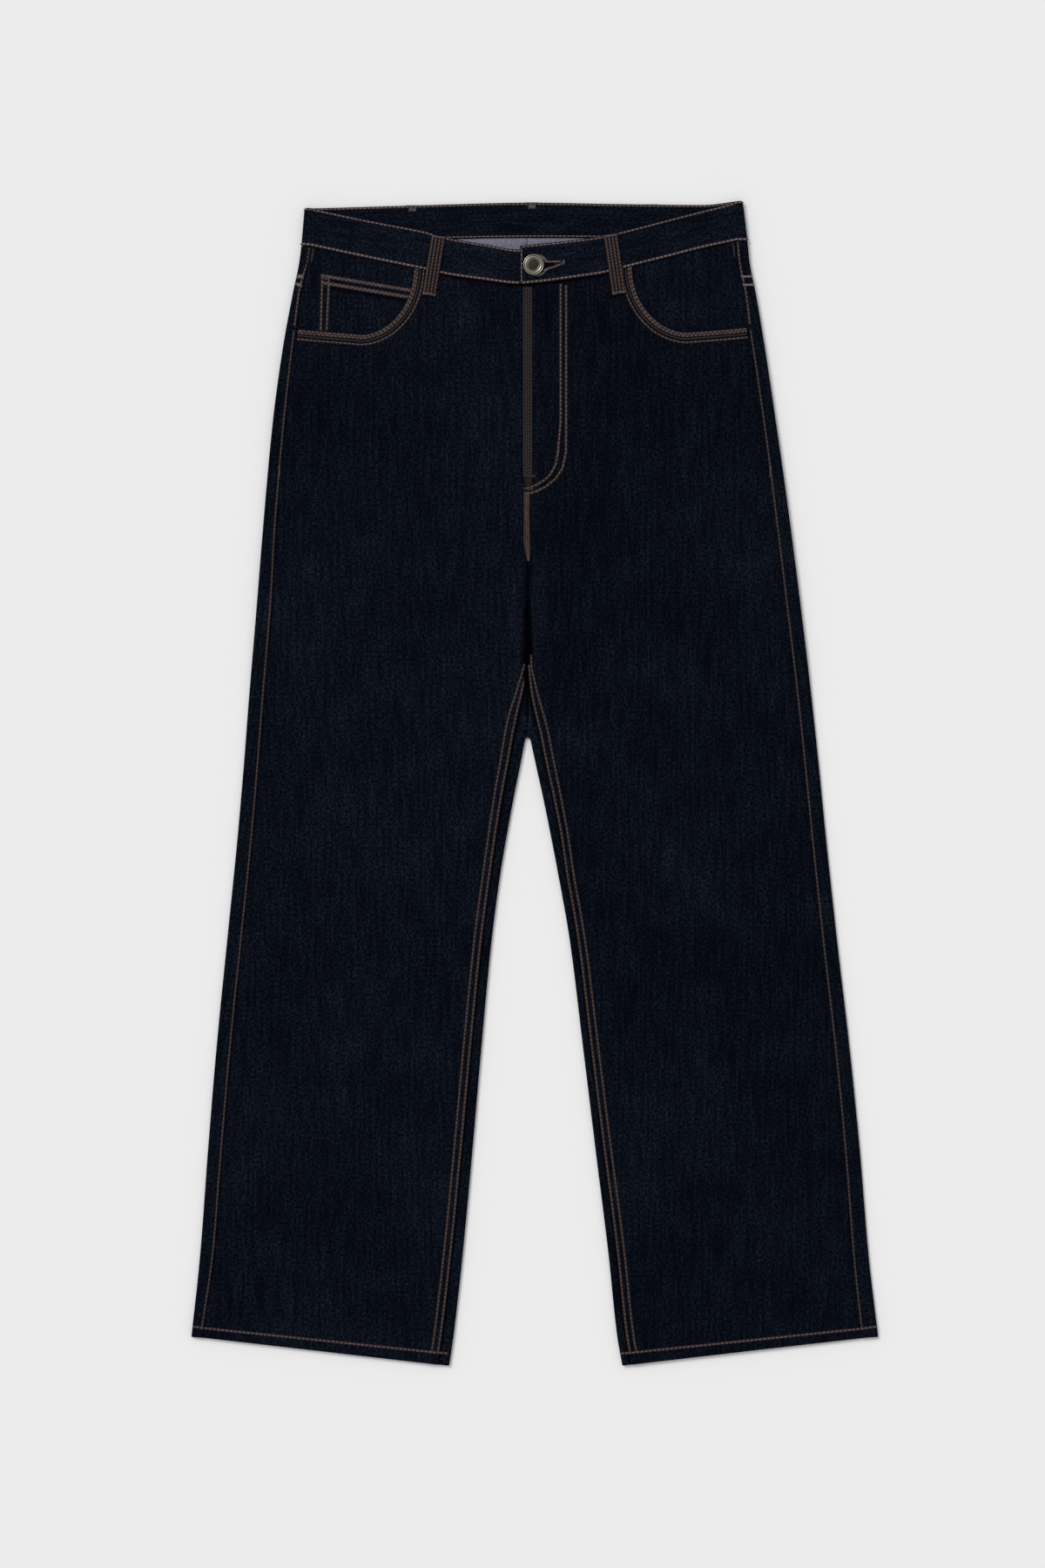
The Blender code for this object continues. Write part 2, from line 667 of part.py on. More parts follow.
def back_yoke(leg, material):
    """Yoke between a back panel and the waistband, wrapped round the hip to the side seam."""
    columns = columns_of(("side_strip", STRIP_COLUMNS), ("side_fold", FOLD_COLUMNS),
                         ("sheet", BACK_COLUMNS))
    centre = CENTRE_X + SIDE[leg] * SEAM_GAP / 2
    table = band_table(leg)

    def place(column, share):
        part, along = column
        side_y = mix(YOKE_SIDE_Y, band_low(leg, table[0].x if leg == "r" else table[-1].x), share)
        outer, way = edge_normal(OUTER_EDGE, leg, side_y, SIDE[leg])
        middle_y = mix(YOKE_CENTRE_Y, read(BAND_BACK, "low", centre, key="x"), share)
        section = Section(outer, way, read(SIDE_STRIP, leg, side_y),
                          Vector((centre, middle_y)), Vector((0.0, 0.0)), 0.0, 0.0)
        x, y, z = back_point(section, part, along)
        if share == 1.0:
            front = band_low(leg, x)
            back = read(BAND_BACK, "low", x, key="x")
            under = {"side_strip": 0.0, "side_fold": along, "sheet": 1.0}[part]
            y = mix(front - SEAM_GAP, back - 2.5 * SEAM_GAP, under)
        return x, y, z

    bm = bmesh.new()
    grid(bm, columns, (0.0, 0.35, 0.7, 1.0), place)
    if leg == "r":
        bmesh.ops.reverse_faces(bm, faces=bm.faces)
    return wall("back_yoke_" + leg, bm, material, DENIM)


def facing_height(leg, x, y):
    """Outer face of a pocket facing: high at the side and waist seams, low under the front."""
    side_x = read(OUTER_EDGE, leg, y) - SIDE[leg] * read(SIDE_STRIP, leg, y)
    from_side = abs(x - side_x)
    from_waist = band_low(leg, x) - y
    above_scoop = smooth((y - SCOOP[leg].side_y - 5.0) / 22.0)
    side_level = mix(FACING_AT_SCOOP, FACING_AT_SIDE, above_scoop)
    side_rise = (side_level - FACING_HEIGHT) * (1.0 - smooth(from_side / 24.0))
    waist_rise = (FACING_AT_WAIST - FACING_HEIGHT) * (1.0 - smooth(from_waist / 20.0))
    return FACING_HEIGHT + max(side_rise, waist_rise)


def below_scoop(leg, x, under):
    """Lower edge of what lies under the scoop, a margin past its edge."""
    scoop = SCOOP[leg]
    run = (x - scoop.turn_x) / (scoop.waist_x - scoop.turn_x)
    if run <= 0.0:
        side_x = SCOOP_LINE[leg][0].x
        share = (x - scoop.turn_x) / (side_x - scoop.turn_x)
        return mix(scoop.turn_y, scoop.side_y, share) - under
    reach = abs(scoop.waist_x - scoop.turn_x) + under
    depth = scoop.waist_y - scoop.turn_y + under
    across = min(abs(x - scoop.turn_x) / reach, 1.0)
    return scoop.waist_y - depth * math.sqrt(1.0 - across * across)


def pocket_facing(leg, material):
    """Denim facing that closes the scoop from behind."""
    scoop = SCOOP[leg]
    end_x = scoop.waist_x - SIDE[leg] * (FACING_UNDER - 1.2)

    def place(share, rise):
        seam_x = SCOOP_LINE[leg][0].x
        for _ in range(2):      # the seam's x depends on y, and y a little on x
            x = mix(seam_x, end_x, share)
            low = below_scoop(leg, x, FACING_UNDER)
            y = mix(low, band_low(leg, x) - 1.5 * SEAM_GAP, rise)
            seam_x = read(OUTER_EDGE, leg, y)
            seam_x -= SIDE[leg] * (read(SIDE_STRIP, leg, y) + 2.0 * SEAM_GAP)
        return x, y, facing_height(leg, x, y)

    bm = bmesh.new()
    grid(bm, (0, 0.08, 0.17, 0.28, 0.4, 0.52, 0.64, 0.76, 0.86, 0.94, 1),
         (0, 0.12, 0.25, 0.4, 0.55, 0.68, 0.8, 0.9, 1), place)
    if leg == "l":
        bmesh.ops.reverse_faces(bm, faces=bm.faces)
    return wall("pocket_facing_" + leg, bm, material, DENIM)


def coin_pocket(material):
    """Small pocket on the right facing; its lower end runs under the front."""

    def place(share, rise):
        x = mix(COIN_LEFT_X, COIN_RIGHT_X, share)
        top = COIN_LEFT_TOP_Y - (x - COIN_LEFT_X) * COIN_TOP_FALL
        y = mix(below_scoop("r", x, COIN_UNDER), top, rise)
        return x, y, facing_height("r", x, y) + DENIM + SEAM_GAP

    bm = bmesh.new()
    grid(bm, (0, 0.14, 0.3, 0.46, 0.62, 0.76, 0.88, 0.96, 1), (0, 0.2, 0.4, 0.6, 0.8, 1), place)
    return wall("coin_pocket", bm, material, DENIM)


# ---- waistband ----------------------------------------------------------------------------

def waistband(material):
    """One strip from the buttonhole end, round the back, to the end beneath it."""
    def stretch(table):
        places = [mix(table[0].x, table[-1].x, k / BAND_STATIONS) for k in range(BAND_STATIONS + 1)]
        return [(x, *(read(table, key, x, key="x") for key in ("top", "low", "z")), None)
                for x in places]

    stations = stretch(BAND_FRONT_L)
    for leg, start, end in (("l", 180.0, 0.0), ("r", 0.0, 180.0)):
        corner = BAND_BACK[-1] if leg == "l" else BAND_BACK[0]
        turns = [math.radians(mix(start, end, (k + 0.5) / FOLD_STEPS)) for k in range(FOLD_STEPS)]
        fold = [(None, corner.top, corner.low, turn, leg) for turn in turns]
        if leg == "l":
            stations += fold + stretch(BAND_BACK)[::-1]
        else:
            stations += fold + stretch(BAND_FRONT_R)

    def place(rise, station):
        x, top, low, z, fold_leg = station
        y = mix(low, top, rise)
        if fold_leg:
            turn = z
            radius = BAND_FOLD / 2
            edge = read(OUTER_EDGE, fold_leg, y)
            x = edge - SIDE[fold_leg] * radius * (1.0 - math.sin(turn))
            z = SEAT_LIFT + radius * (1.0 - math.cos(turn))
        return x, y, z

    bm = bmesh.new()
    grid(bm, (0.0, 0.5, 1.0), stations, place)
    bmesh.ops.reverse_faces(bm, faces=bm.faces)
    band = wall("waistband", bm, material, BAND_WALL)

    # keyhole buttonhole through the lap: a round eye for the shank and a slit beside it
    slit = flat_outline("buttonhole_slit", [(BUTTON_X, BUTTON_Y + 1.1), (BUTTON_X, BUTTON_Y - 1.1),
                                            (BUTTON_X + 25.0, BUTTON_Y + 1.6),
                                            (BUTTON_X + 25.0, BUTTON_Y + 3.8)], 5.6, 9.4)
    bpy.ops.mesh.primitive_cylinder_add(
        vertices=16, radius=(SHANK_RADIUS + 1.0) * MM, depth=4.0 * MM,
        location=(BUTTON_X * MM, BUTTON_Y * MM, 8.2 * MM))
    eye = bpy.context.object
    eye.name = "buttonhole_eye"
    for cutter in (eye, slit):
        cutter.hide_render = True
        cutter.display_type = "WIRE"
        for home in list(cutter.users_collection):
            home.objects.unlink(cutter)
        cutters.objects.link(cutter)
        cut = band.modifiers.new(cutter.name, "BOOLEAN")
        cut.operation = "DIFFERENCE"
        cut.solver = "EXACT"
        cut.object = cutter
    return band


# ---- flat pieces --------------------------------------------------------------------------

def flat_outline(name, points, low_z, high_z):
    """Flat piece with a straight outline, between two heights."""
    bm = bmesh.new()
    verts = [bm.verts.new(Vector((x, y, low_z)) * MM) for x, y in points]
    base = bm.faces.new(verts)
    made = bmesh.ops.extrude_face_region(bm, geom=[base])
    lifted = [item for item in made["geom"] if isinstance(item, bmesh.types.BMVert)]
    bmesh.ops.translate(bm, verts=lifted, vec=(0.0, 0.0, (high_z - low_z) * MM))
    bmesh.ops.recalc_face_normals(bm, faces=bm.faces)
    mesh = bpy.data.meshes.new(name)
    bm.to_mesh(mesh)
    bm.free()
    piece = bpy.data.objects.new(name, mesh)
    collection.objects.link(piece)
    return piece


def back_pocket(leg, material):
    """Patch pocket on the seat, which the jeans lie on."""
    x = POCKET_X[leg]
    tilt = SIDE[leg] * 0.035
    half = ((-POCKET_HALF_TOP, 0.0), (-POCKET_HALF_LOW, -POCKET_SIDE_DROP),
            (-POCKET_HALF_LOW + POCKET_TURN_IN, -POCKET_SIDE_DROP - 5.0),
            (0.0, -POCKET_POINT_DROP))
    outline = list(half) + [(-px, py) for px, py in reversed(half[:-1])]
    placed = [(x + px - py * tilt, POCKET_TOP_Y + py + px * tilt) for px, py in outline]
    pocket = flat_outline("back_pocket_" + leg, placed, 0.0, PATCH_WALL)
    pocket.data.materials.append(material)
    return pocket


def belt_loop_back(name, x, material):
    """Belt loop on the underside, from the upper edge of the band down over the yoke."""
    top = read(BAND_BACK, "top", x, key="x") + 0.4
    half = LOOP_WIDTH / 2
    loop = flat_outline("belt_loop_back_" + name,
                        [(x - half, top - LOOP_LENGTH), (x + half, top - LOOP_LENGTH),
                         (x + half, top), (x - half, top)], 0.0, LOOP_WALL)
    loop.data.materials.append(material)
    return loop


def belt_loop_front(leg, material):
    """Belt loop over the band, bowed off it in the middle and sewn to the front below."""
    loop = FRONT_LOOPS[leg]
    start = Vector((loop.top_x, loop.top_y))
    end = Vector((loop.low_x, loop.low_y))
    way = (end - start).normalized()
    side = Vector((-way.y, way.x)) * LOOP_WIDTH / 2

    def surface(x, y):
        if y > band_low(leg, x) - 1.5:
            return read(band_table(leg), "z", x, key="x")
        return front_height(leg, x, y)

    def place(across, along):
        x, y = start.lerp(end, along) + side * across
        bow = 0.9 * math.sin(math.pi * min(along / 0.85, 1.0)) + 0.25 * math.sin(math.pi * along)
        return x, y, surface(x, y) + SEAM_GAP + LOOP_WALL + bow

    bm = bmesh.new()
    grid(bm, (-1.0, 0.0, 1.0), (0.0, 0.1, 0.25, 0.42, 0.6, 0.645, 0.72, 0.8, 0.9, 1.0), place)
    bmesh.ops.recalc_face_normals(bm, faces=bm.faces)
    if sum(face.normal.z for face in bm.faces) < 0.0:
        bmesh.ops.reverse_faces(bm, faces=bm.faces)
    return wall("belt_loop_front_" + leg, bm, material, LOOP_WALL)


def waist_button(material):
    """Shank button through the buttonhole: stem on the underlap, ringed cap above the lap."""
    cap = 9.0
    profile = ((0.0, 6.3), (SHANK_RADIUS + 0.4, 6.3), (SHANK_RADIUS, 7.2), (SHANK_RADIUS, cap),
               (BUTTON_RADIUS - 0.7, cap + 0.1), (BUTTON_RADIUS, cap + 0.8),
               (BUTTON_RADIUS - 0.5, cap + 1.8), (BUTTON_RADIUS - 1.6, cap + 2.2),
               (BUTTON_RADIUS - 2.4, cap + 1.8), (6.2, cap + 1.7), (5.5, cap + 2.2),
               (4.7, cap + 1.7), (0.0, cap + 1.6))
    bm = bmesh.new()
    verts = [bm.verts.new((r * MM, 0.0, z * MM)) for r, z in reversed(profile)]
    for lower, upper in zip(verts, verts[1:]):
        bm.edges.new((lower, upper))
    mesh = bpy.data.meshes.new("waist_button")
    bm.to_mesh(mesh)
    bm.free()
    button = add_object("waist_button", mesh, material)
    button.location = (BUTTON_X * MM, BUTTON_Y * MM, 0.0)
    turned = button.modifiers.new("turned", "SCREW")
    turned.steps = 28
    turned.render_steps = 28
    turned.use_merge_vertices = True
    turned.merge_threshold = 0.00001
    return button


# ---- the jeans ----------------------------------------------------------------------------

for old in list(bpy.data.objects):
    bpy.data.objects.remove(old, do_unlink=True)

collection = bpy.data.collections.new("relaxed_fit_jeans")
bpy.context.scene.collection.children.link(collection)
cutters = bpy.data.collections.new("cutters")
bpy.context.scene.collection.children.link(cutters)

indigo = finish("indigo_denim", (0.008, 0.012, 0.024))
indigo_band = finish("indigo_denim_band", (0.010, 0.014, 0.028))
pewter = finish("antique_pewter", (0.32, 0.29, 0.24), 0.4, 1.0)

for leg in SIDE:
    back_panel(leg, indigo)
    front_panel(leg, indigo)
    back_yoke(leg, indigo)
    pocket_facing(leg, indigo)
    back_pocket(leg, indigo)
    belt_loop_front(leg, indigo_band)
coin_pocket(indigo)
waistband(indigo_band)
for name, x in BACK_LOOPS.items():
    belt_loop_back(name, x, indigo_band)
waist_button(pewter)
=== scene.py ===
"""Relaxed fit jeans of raw indigo denim, laid flat on a pale floor, front up, waist towards +Y.

The sections follow the garment as it is put together. Sizes are millimetres until MM turns them
to metres. r and l are the wearer's right and left, so the right leg lies at -X.
"""
import math
from collections import namedtuple

import bmesh
import bpy
import numpy as np
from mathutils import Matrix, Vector, noise
from mathutils.bvhtree import BVHTree


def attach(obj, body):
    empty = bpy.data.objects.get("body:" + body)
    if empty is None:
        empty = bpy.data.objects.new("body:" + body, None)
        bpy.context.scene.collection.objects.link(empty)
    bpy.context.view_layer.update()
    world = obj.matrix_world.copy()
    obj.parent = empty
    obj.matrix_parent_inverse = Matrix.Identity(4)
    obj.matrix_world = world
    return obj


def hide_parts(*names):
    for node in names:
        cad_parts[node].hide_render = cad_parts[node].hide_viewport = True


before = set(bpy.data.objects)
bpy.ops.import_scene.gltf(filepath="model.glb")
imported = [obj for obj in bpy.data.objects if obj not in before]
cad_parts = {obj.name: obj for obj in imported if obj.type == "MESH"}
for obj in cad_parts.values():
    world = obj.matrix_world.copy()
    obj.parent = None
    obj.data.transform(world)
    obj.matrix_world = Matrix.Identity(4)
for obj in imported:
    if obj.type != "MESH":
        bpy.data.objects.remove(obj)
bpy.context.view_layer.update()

# ---- back leg panels ----------------------------------------------------------------------
# The lower sheet of each leg and of its side of the seat, cut from 14 ounce right-hand twill,
# indigo on its face and pale on its wrong side. It wraps round both folds of the leg to the
# front: its side edge laps over the front, and its inseam edge runs on beneath it.

MM = 0.001
SIDE = {"r": -1, "l": 1}
DENIM = 0.9             # one layer
HEM_WALL = 2.1          # a turned hem
HEM_HEIGHT = 10.0
SEAM_STEP = 1.25        # from the top of a lapped seam down to the layer beneath it
SEAM_TUCK = 5.0         # how far the lower layer runs on under the upper one
SEAM_HALF = 0.03        # half of the space between two pieces edge to edge
SEAM_RIDGE = 0.45       # a seam's layers raise the cloth over them
ROLL = 0.8              # radius of a folded edge
FLOOR_GAP = 0.3         # leaves room for the thread under the cloth
SEAT_LIFT = 1.6         # the seat lies on its pockets and loops
CENTRE_X = -6.6
HEM_OUTER_Y, HEM_INNER_Y = -520.7, -547.6
LEG_LENGTH = 565.0
LEG_TOP_OUTER_Y, LEG_TOP_INNER_Y = 20.0, 40.9
GAP_TIP_Y, TIP_RADIUS = 40.4, 2.4
CROTCH_POINT_Y = 110.0
SEAT_START_Y, YOKE_SIDE_Y, YOKE_CENTRE_Y = 84.0, 466.8, 441.0
ROW_STEP = 3.4          # between the rows of a sheet
FOLD_STEPS = 10

Row = namedtuple("Row", "y r l")
OUTER_EDGE = (
    Row(-520.7, -323.1, 323.1),
    Row(-443.6, -314.9, 314.1),
    Row(-345.2, -307.5, 305.9),
    Row(-246.8, -299.3, 296.0),
    Row(-148.4, -289.5, 284.5),
    Row(-50.0, -279.6, 273.9),
    Row(15.6, -273.9, 267.4),
    Row(81.2, -268.8, 260.4),
    Row(146.8, -263.2, 252.6),
    Row(212.4, -257.9, 244.4),
    Row(278.0, -252.4, 235.7),
    Row(343.6, -246.0, 226.3),
    Row(409.2, -237.0, 216.5),
    Row(458.4, -228.0, 208.3),
    Row(491.2, -221.3, 201.9),
    Row(505.0, -219.6, 200.6),
    Row(547.0, -216.0, 195.6),
)
INNER_EDGE = (
    Row(-547.8, -80.4, 82.4),
    Row(-519.1, -76.3, 77.4),
    Row(-443.6, -67.8, 69.4),
    Row(-345.2, -58.6, 57.2),
    Row(-246.8, -50.0, 45.2),
    Row(-148.4, -40.6, 33.0),
    Row(-82.8, -32.0, 21.5),
    Row(-50.0, -26.4, 15.2),
    Row(-17.2, -20.5, 8.6),
    Row(15.6, -13.9, 1.4),
    Row(40.9, -9.1, -4.1),
)
# Width of the back panel that shows in front of each fold.
SIDE_STRIP = (
    Row(-520.7, 10.7, 16.4),
    Row(-420.0, 14.0, 15.4),
    Row(0.0, 14.8, 14.4),
    Row(160.0, 14.8, 14.4),
    Row(245.0, 12.9, 14.0),
    Row(340.0, 12.2, 12.9),
    Row(425.0, 9.9, 12.6),
    Row(460.0, 7.8, 11.2),
    Row(500.0, 6.8, 10.7),
)
INSEAM_STRIP = (
    Row(-547.8, 11.0, 8.2),
    Row(-411.0, 10.2, 7.8),
    Row(-253.0, 9.4, 7.2),
    Row(-96.0, 8.8, 7.2),
    Row(-43.0, 10.0, 9.1),
    Row(9.0, 11.0, 9.3),
    Row(42.4, 11.4, 9.8),
)
# Round the tip of the gap the sheet turns until its edge lies along the centre seam.
Tip = namedtuple("Tip", "outer_y turn r l strip_y height")
TIP = (
    Tip(20.0, 11.0, 13.5, 11.9, 44.5, 4.7),
    Tip(36.0, 40.0, 11.7, 9.7, 53.0, 5.1),
    Tip(52.0, 63.0, 9.3, 6.9, 64.8, 5.2),
    Tip(68.0, 80.0, 4.7, 2.9, 84.5, 5.2),
    Tip(84.0, 90.0, 0.0, 0.0, 110.0, 4.4),
)
# Height of the cloth at the folds, at the inner seams and in the middle of a front.
Height = namedtuple("Height", "y fold inner middle")
HEIGHT = (
    Height(-548.0, 4.6, 4.6, 3.5),
    Height(-300.0, 4.6, 4.6, 3.0),
    Height(-60.0, 4.6, 4.6, 3.1),
    Height(40.0, 4.7, 4.7, 3.4),
    Height(80.0, 5.2, 5.3, 3.9),
    Height(110.0, 6.0, 4.4, 4.6),
    Height(205.0, 6.6, 4.3, 4.6),
    Height(240.0, 6.6, 4.8, 4.7),
    Height(300.0, 6.6, 4.8, 4.8),
    Height(440.0, 6.6, 5.0, 5.0),
    Height(470.0, 6.6, 5.3, 5.3),
    Height(515.0, 6.6, 5.3, 5.3),
)
HEM_STACK = 5.0
HEM_EASE = 30.0


def smooth(t):
    """Ease from 0 to 1 while t goes from 0 to 1."""
    t = np.clip(t, 0.0, 1.0)
    return t * t * (3.0 - 2.0 * t)


def mix(a, b, t):
    return a + (b - a) * t


def in_plan(x, y):
    """Points from their x and y."""
    return np.stack([x, y], axis=-1)


def read(table, column, at, key="y"):
    """Values of a table's column at places, on a smooth curve through its rows."""
    places = np.array([getattr(row, key) for row in table])
    values = np.array([getattr(row, column) for row in table])
    at = np.clip(at, places[0], places[-1])
    i = np.clip(np.searchsorted(places, at, side="right") - 1, 0, len(places) - 2)
    steps = np.diff(values) / np.diff(places)
    slope = np.append(steps[:1], steps)
    turns = steps[:-1] * steps[1:] > 0.0
    total = np.where(turns, steps[:-1] + steps[1:], 1.0)
    slope[1:-1] = np.where(turns, 2.0 * steps[:-1] * steps[1:] / total, 0.0)
    width = places[i + 1] - places[i]
    t = (at - places[i]) / width
    return (values[i] * (1 + 2 * t) * (1 - t) ** 2 + values[i + 1] * t * t * (3 - 2 * t)
            + width * t * (1 - t) * (slope[i] * (1 - t) - slope[i + 1] * t))


def seat_lift(y):
    return FLOOR_GAP + (SEAT_LIFT - FLOOR_GAP) * smooth((y - 62.0) / 70.0)


def hem_rise(leg, x, y):
    """Distance above the hem, which slants from its inner to its outer corner."""
    outer_x = read(OUTER_EDGE, leg, HEM_OUTER_Y)
    inner_x = read(INNER_EDGE, leg, HEM_INNER_Y)
    share = np.clip((x - inner_x) / (outer_x - inner_x), 0.0, 1.0)
    return y - mix(HEM_INNER_Y, HEM_OUTER_Y, share)


def cloth_height(column, leg, x, y):
    """Height of the cloth by the table, raised where the hems lie on each other."""
    over_hem = 1.0 - smooth((hem_rise(leg, x, y) - HEM_HEIGHT - 4.0) / HEM_EASE)
    return mix(read(HEIGHT, column, y), HEM_STACK, over_hem)


def rolled(distance):
    """Drop of a folded edge, by the distance in from it."""
    inside = np.clip(ROLL - distance, 0.0, ROLL)
    return ROLL - np.sqrt(ROLL * ROLL - inside * inside)


def ripple(along, wave, seed):
    """Uneven puckers along a seam, from -1 to 1."""
    along = np.asarray(along, float)
    values = [noise.noise(Vector((a / wave, seed * 7.31, 0.4))) for a in along.ravel()]
    return np.array(values).reshape(along.shape) * 1.6


def edge(table, leg, y, outward):
    """Points of an outline and its outward directions, all in plan."""
    reach = 2.0
    lean = (read(table, leg, y + reach) - read(table, leg, y - reach)) / (2.0 * reach)
    size = np.sqrt(1.0 + lean * lean)
    return (in_plan(read(table, leg, y), y),
            in_plan(outward / size, -outward * lean / size))


HEM_RISES = (0.0, 0.25, 0.6, 1.1, 2.0, 3.5, 5.5, 7.5, 9.0, 10.0, 11.0, 12.0, 13.5, 15.5)
HEM_ROW = 9             # the one of them at the hem's stitching
Sections = namedtuple("Sections", "outer outer_way side_strip inner inner_way seam height")


def leg_sections(leg):
    """Sections from the hem to the tip of the gap, the last ones turned round that tip."""
    rise = np.append(HEM_RISES, np.linspace(18.5, LEG_LENGTH, round(LEG_LENGTH / ROW_STEP)))
    outer_y = mix(HEM_OUTER_Y, LEG_TOP_OUTER_Y, rise / LEG_LENGTH)
    inner_y = mix(HEM_INNER_Y, LEG_TOP_INNER_Y, rise / LEG_LENGTH)
    inner, inner_way = edge(INNER_EDGE, leg, inner_y, -SIDE[leg])
    seam = inner - inner_way * read(INSEAM_STRIP, leg, inner_y)[:, None]
    height = cloth_height("inner", leg, inner[:, 0], inner_y)

    tip_y = np.linspace(TIP[0].outer_y, SEAT_START_Y, 30)[1:]
    turn = np.radians(read(TIP, "turn", tip_y, key="outer_y"))
    tip_way = in_plan(-SIDE[leg] * np.cos(turn), -np.sin(turn))
    tip = np.array([CENTRE_X, GAP_TIP_Y]) - tip_way * TIP_RADIUS
    tip[:, 0] += SIDE[leg] * SEAM_HALF
    tip_seam = in_plan(CENTRE_X + SIDE[leg] * (SEAM_HALF + read(TIP, leg, tip_y, key="outer_y")),
                       read(TIP, "strip_y", tip_y, key="outer_y"))
    outer_y = np.append(outer_y, tip_y)
    outer, outer_way = edge(OUTER_EDGE, leg, outer_y, SIDE[leg])
    return Sections(outer, outer_way, read(SIDE_STRIP, leg, outer_y),
                    np.concatenate([inner, tip]), np.concatenate([inner_way, tip_way]),
                    np.concatenate([seam, tip_seam]),
                    np.append(height, read(TIP, "height", tip_y, key="outer_y")))


SIDE_SHARES = (0.0, 0.015, 0.04, 0.08, 0.13, 0.19, 0.27, 0.38, 0.52, 0.68, 0.84)


def side_seam_x(leg, y, inset=0.0):
    """x of the side seam, or of a line at a distance from it towards the fold."""
    return read(OUTER_EDGE, leg, y) - SIDE[leg] * (read(SIDE_STRIP, leg, y) - inset)


def fold_radius(leg, points):
    """Half the height of the cloth where it turns round a fold."""
    return (cloth_height("fold", leg, points[:, 0], points[:, 1]) - seat_lift(points[:, 1])) / 2


def side_strip(leg, outer, way, strip):
    """The stretch from the side seam to the fold: points of each column, edge first."""
    height = cloth_height("fold", leg, outer[:, 0], outer[:, 1])
    radius = fold_radius(leg, outer)
    ruck = 0.12 * ripple(outer[:, 1], 9.0, SIDE[leg])
    columns = []
    for share in SIDE_SHARES:
        inset = share * (strip - radius)
        plan = outer - way * (strip - inset)[:, None]
        raised = (SEAM_RIDGE + ruck) * (1.0 - smooth((inset - 3.0) / 4.0))
        columns.append((plan, height + raised - rolled(inset)))
    return columns


def side_fold(leg, outer, way):
    """Half round from the front of the fold to the underside."""
    low, radius = seat_lift(outer[:, 1]), fold_radius(leg, outer)
    columns = []
    for k in range(FOLD_STEPS + 1):
        angle = math.pi * (1.0 - k / FOLD_STEPS)
        plan = outer - way * (radius * (1.0 - math.sin(angle)))[:, None]
        columns.append((plan, low + radius * (1.0 - math.cos(angle))))
    return columns


def lower_sheet(start, end, shares):
    """Flat stretch of the underside between two lines, without its first and last column."""
    columns = []
    for share in shares:
        plan = mix(start, end, share)
        columns.append((plan, seat_lift(plan[:, 1])))
    return columns


def wrapped(leg, outer, way, strip, inner, shares):
    """Columns from the side seam over the fold, and under the leg to an inner line."""
    under_start = outer - way * fold_radius(leg, outer)[:, None]
    return (side_strip(leg, outer, way, strip) + side_fold(leg, outer, way)
            + lower_sheet(under_start, inner, shares))


def stacked(columns):
    """Arrays x, y and z of a sheet from its columns."""
    x = np.stack([plan[:, 0] for plan, _ in columns], axis=1)
    y = np.stack([plan[:, 1] for plan, _ in columns], axis=1)
    return x, y, np.stack([z for _, z in columns], axis=1)


def sheet(bm, x, y, z, wear_and_shade=None, lengthwise=False):
    """Woven sheet through a grid of points, with the weave unrolled in a UV map in metres."""
    rows, columns = x.shape
    steps = np.hypot(np.diff(x, axis=1), np.diff(z, axis=1))
    way = np.sign(np.mean(x[:, -1] - x[:, 0]))
    u = x[:, :1] + way * np.concatenate([np.zeros((rows, 1)), np.cumsum(steps, axis=1)], axis=1)
    v = y
    if lengthwise:
        steps = np.sqrt(np.diff(x, axis=0) ** 2 + np.diff(y, axis=0) ** 2 + np.diff(z, axis=0) ** 2)
        v = np.concatenate([np.zeros((1, columns)), np.cumsum(steps, axis=0)], axis=0)
        across = np.hypot(np.diff(y[:1], axis=1), np.diff(z[:1], axis=1))
        u = np.tile(np.append(0.0, np.cumsum(across)), (rows, 1))
    wear_and_shade = np.zeros(x.shape) if wear_and_shade is None else wear_and_shade
    weave = bm.loops.layers.uv.get("weave") or bm.loops.layers.uv.new("weave")
    # per-vertex wear and painted light and shade, read by the denim material
    worn_and_shaded = bm.verts.layers.float.get("wear_and_shade") or bm.verts.layers.float.new("wear_and_shade")
    made = bmesh.ops.create_grid(bm, x_segments=columns - 1, y_segments=rows - 1, size=0.5)
    for vert in made["verts"]:
        i = round((vert.co.y + 0.5) * (rows - 1))
        j = round((vert.co.x + 0.5) * (columns - 1))
        vert.co = (x[i, j] * MM, y[i, j] * MM, z[i, j] * MM)
        vert[worn_and_shaded] = wear_and_shade[i, j]
        for loop in vert.link_loops:
            loop[weave].uv = (u[i, j] * MM, v[i, j] * MM)


def linear(colour):
    """Linear colour of an sRGB hex value."""
    parts = [int(colour[i:i + 2], 16) / 255 for i in (1, 3, 5)]
    return [p / 12.92 if p <= 0.04045 else ((p + 0.055) / 1.055) ** 2.4 for p in parts] + [1.0]


def add_node(tree, kind, settings=None, inputs=None):
    """Node of a kind with its settings, its inputs set to values or linked to outputs."""
    node = tree.nodes.new("ShaderNode" + kind)
    for name, value in (settings or {}).items():
        setattr(node, name, value)
    for name, value in (inputs or {}).items():
        if isinstance(value, bpy.types.NodeSocket):
            tree.links.new(value, node.inputs[name])
        else:
            node.inputs[name].default_value = value
    return node


def combine(tree, kind, *values):
    """Result of a sum of two or three values or outputs."""
    return add_node(tree, "Math", {"operation": kind}, dict(enumerate(values))).outputs["Value"]


def blend(tree, share, low, high):
    """Colour between two colours or outputs."""
    return add_node(tree, "Mix", {"data_type": "RGBA", "clamp_factor": True},
                    {0: share, 6: low, 7: high}).outputs[2]


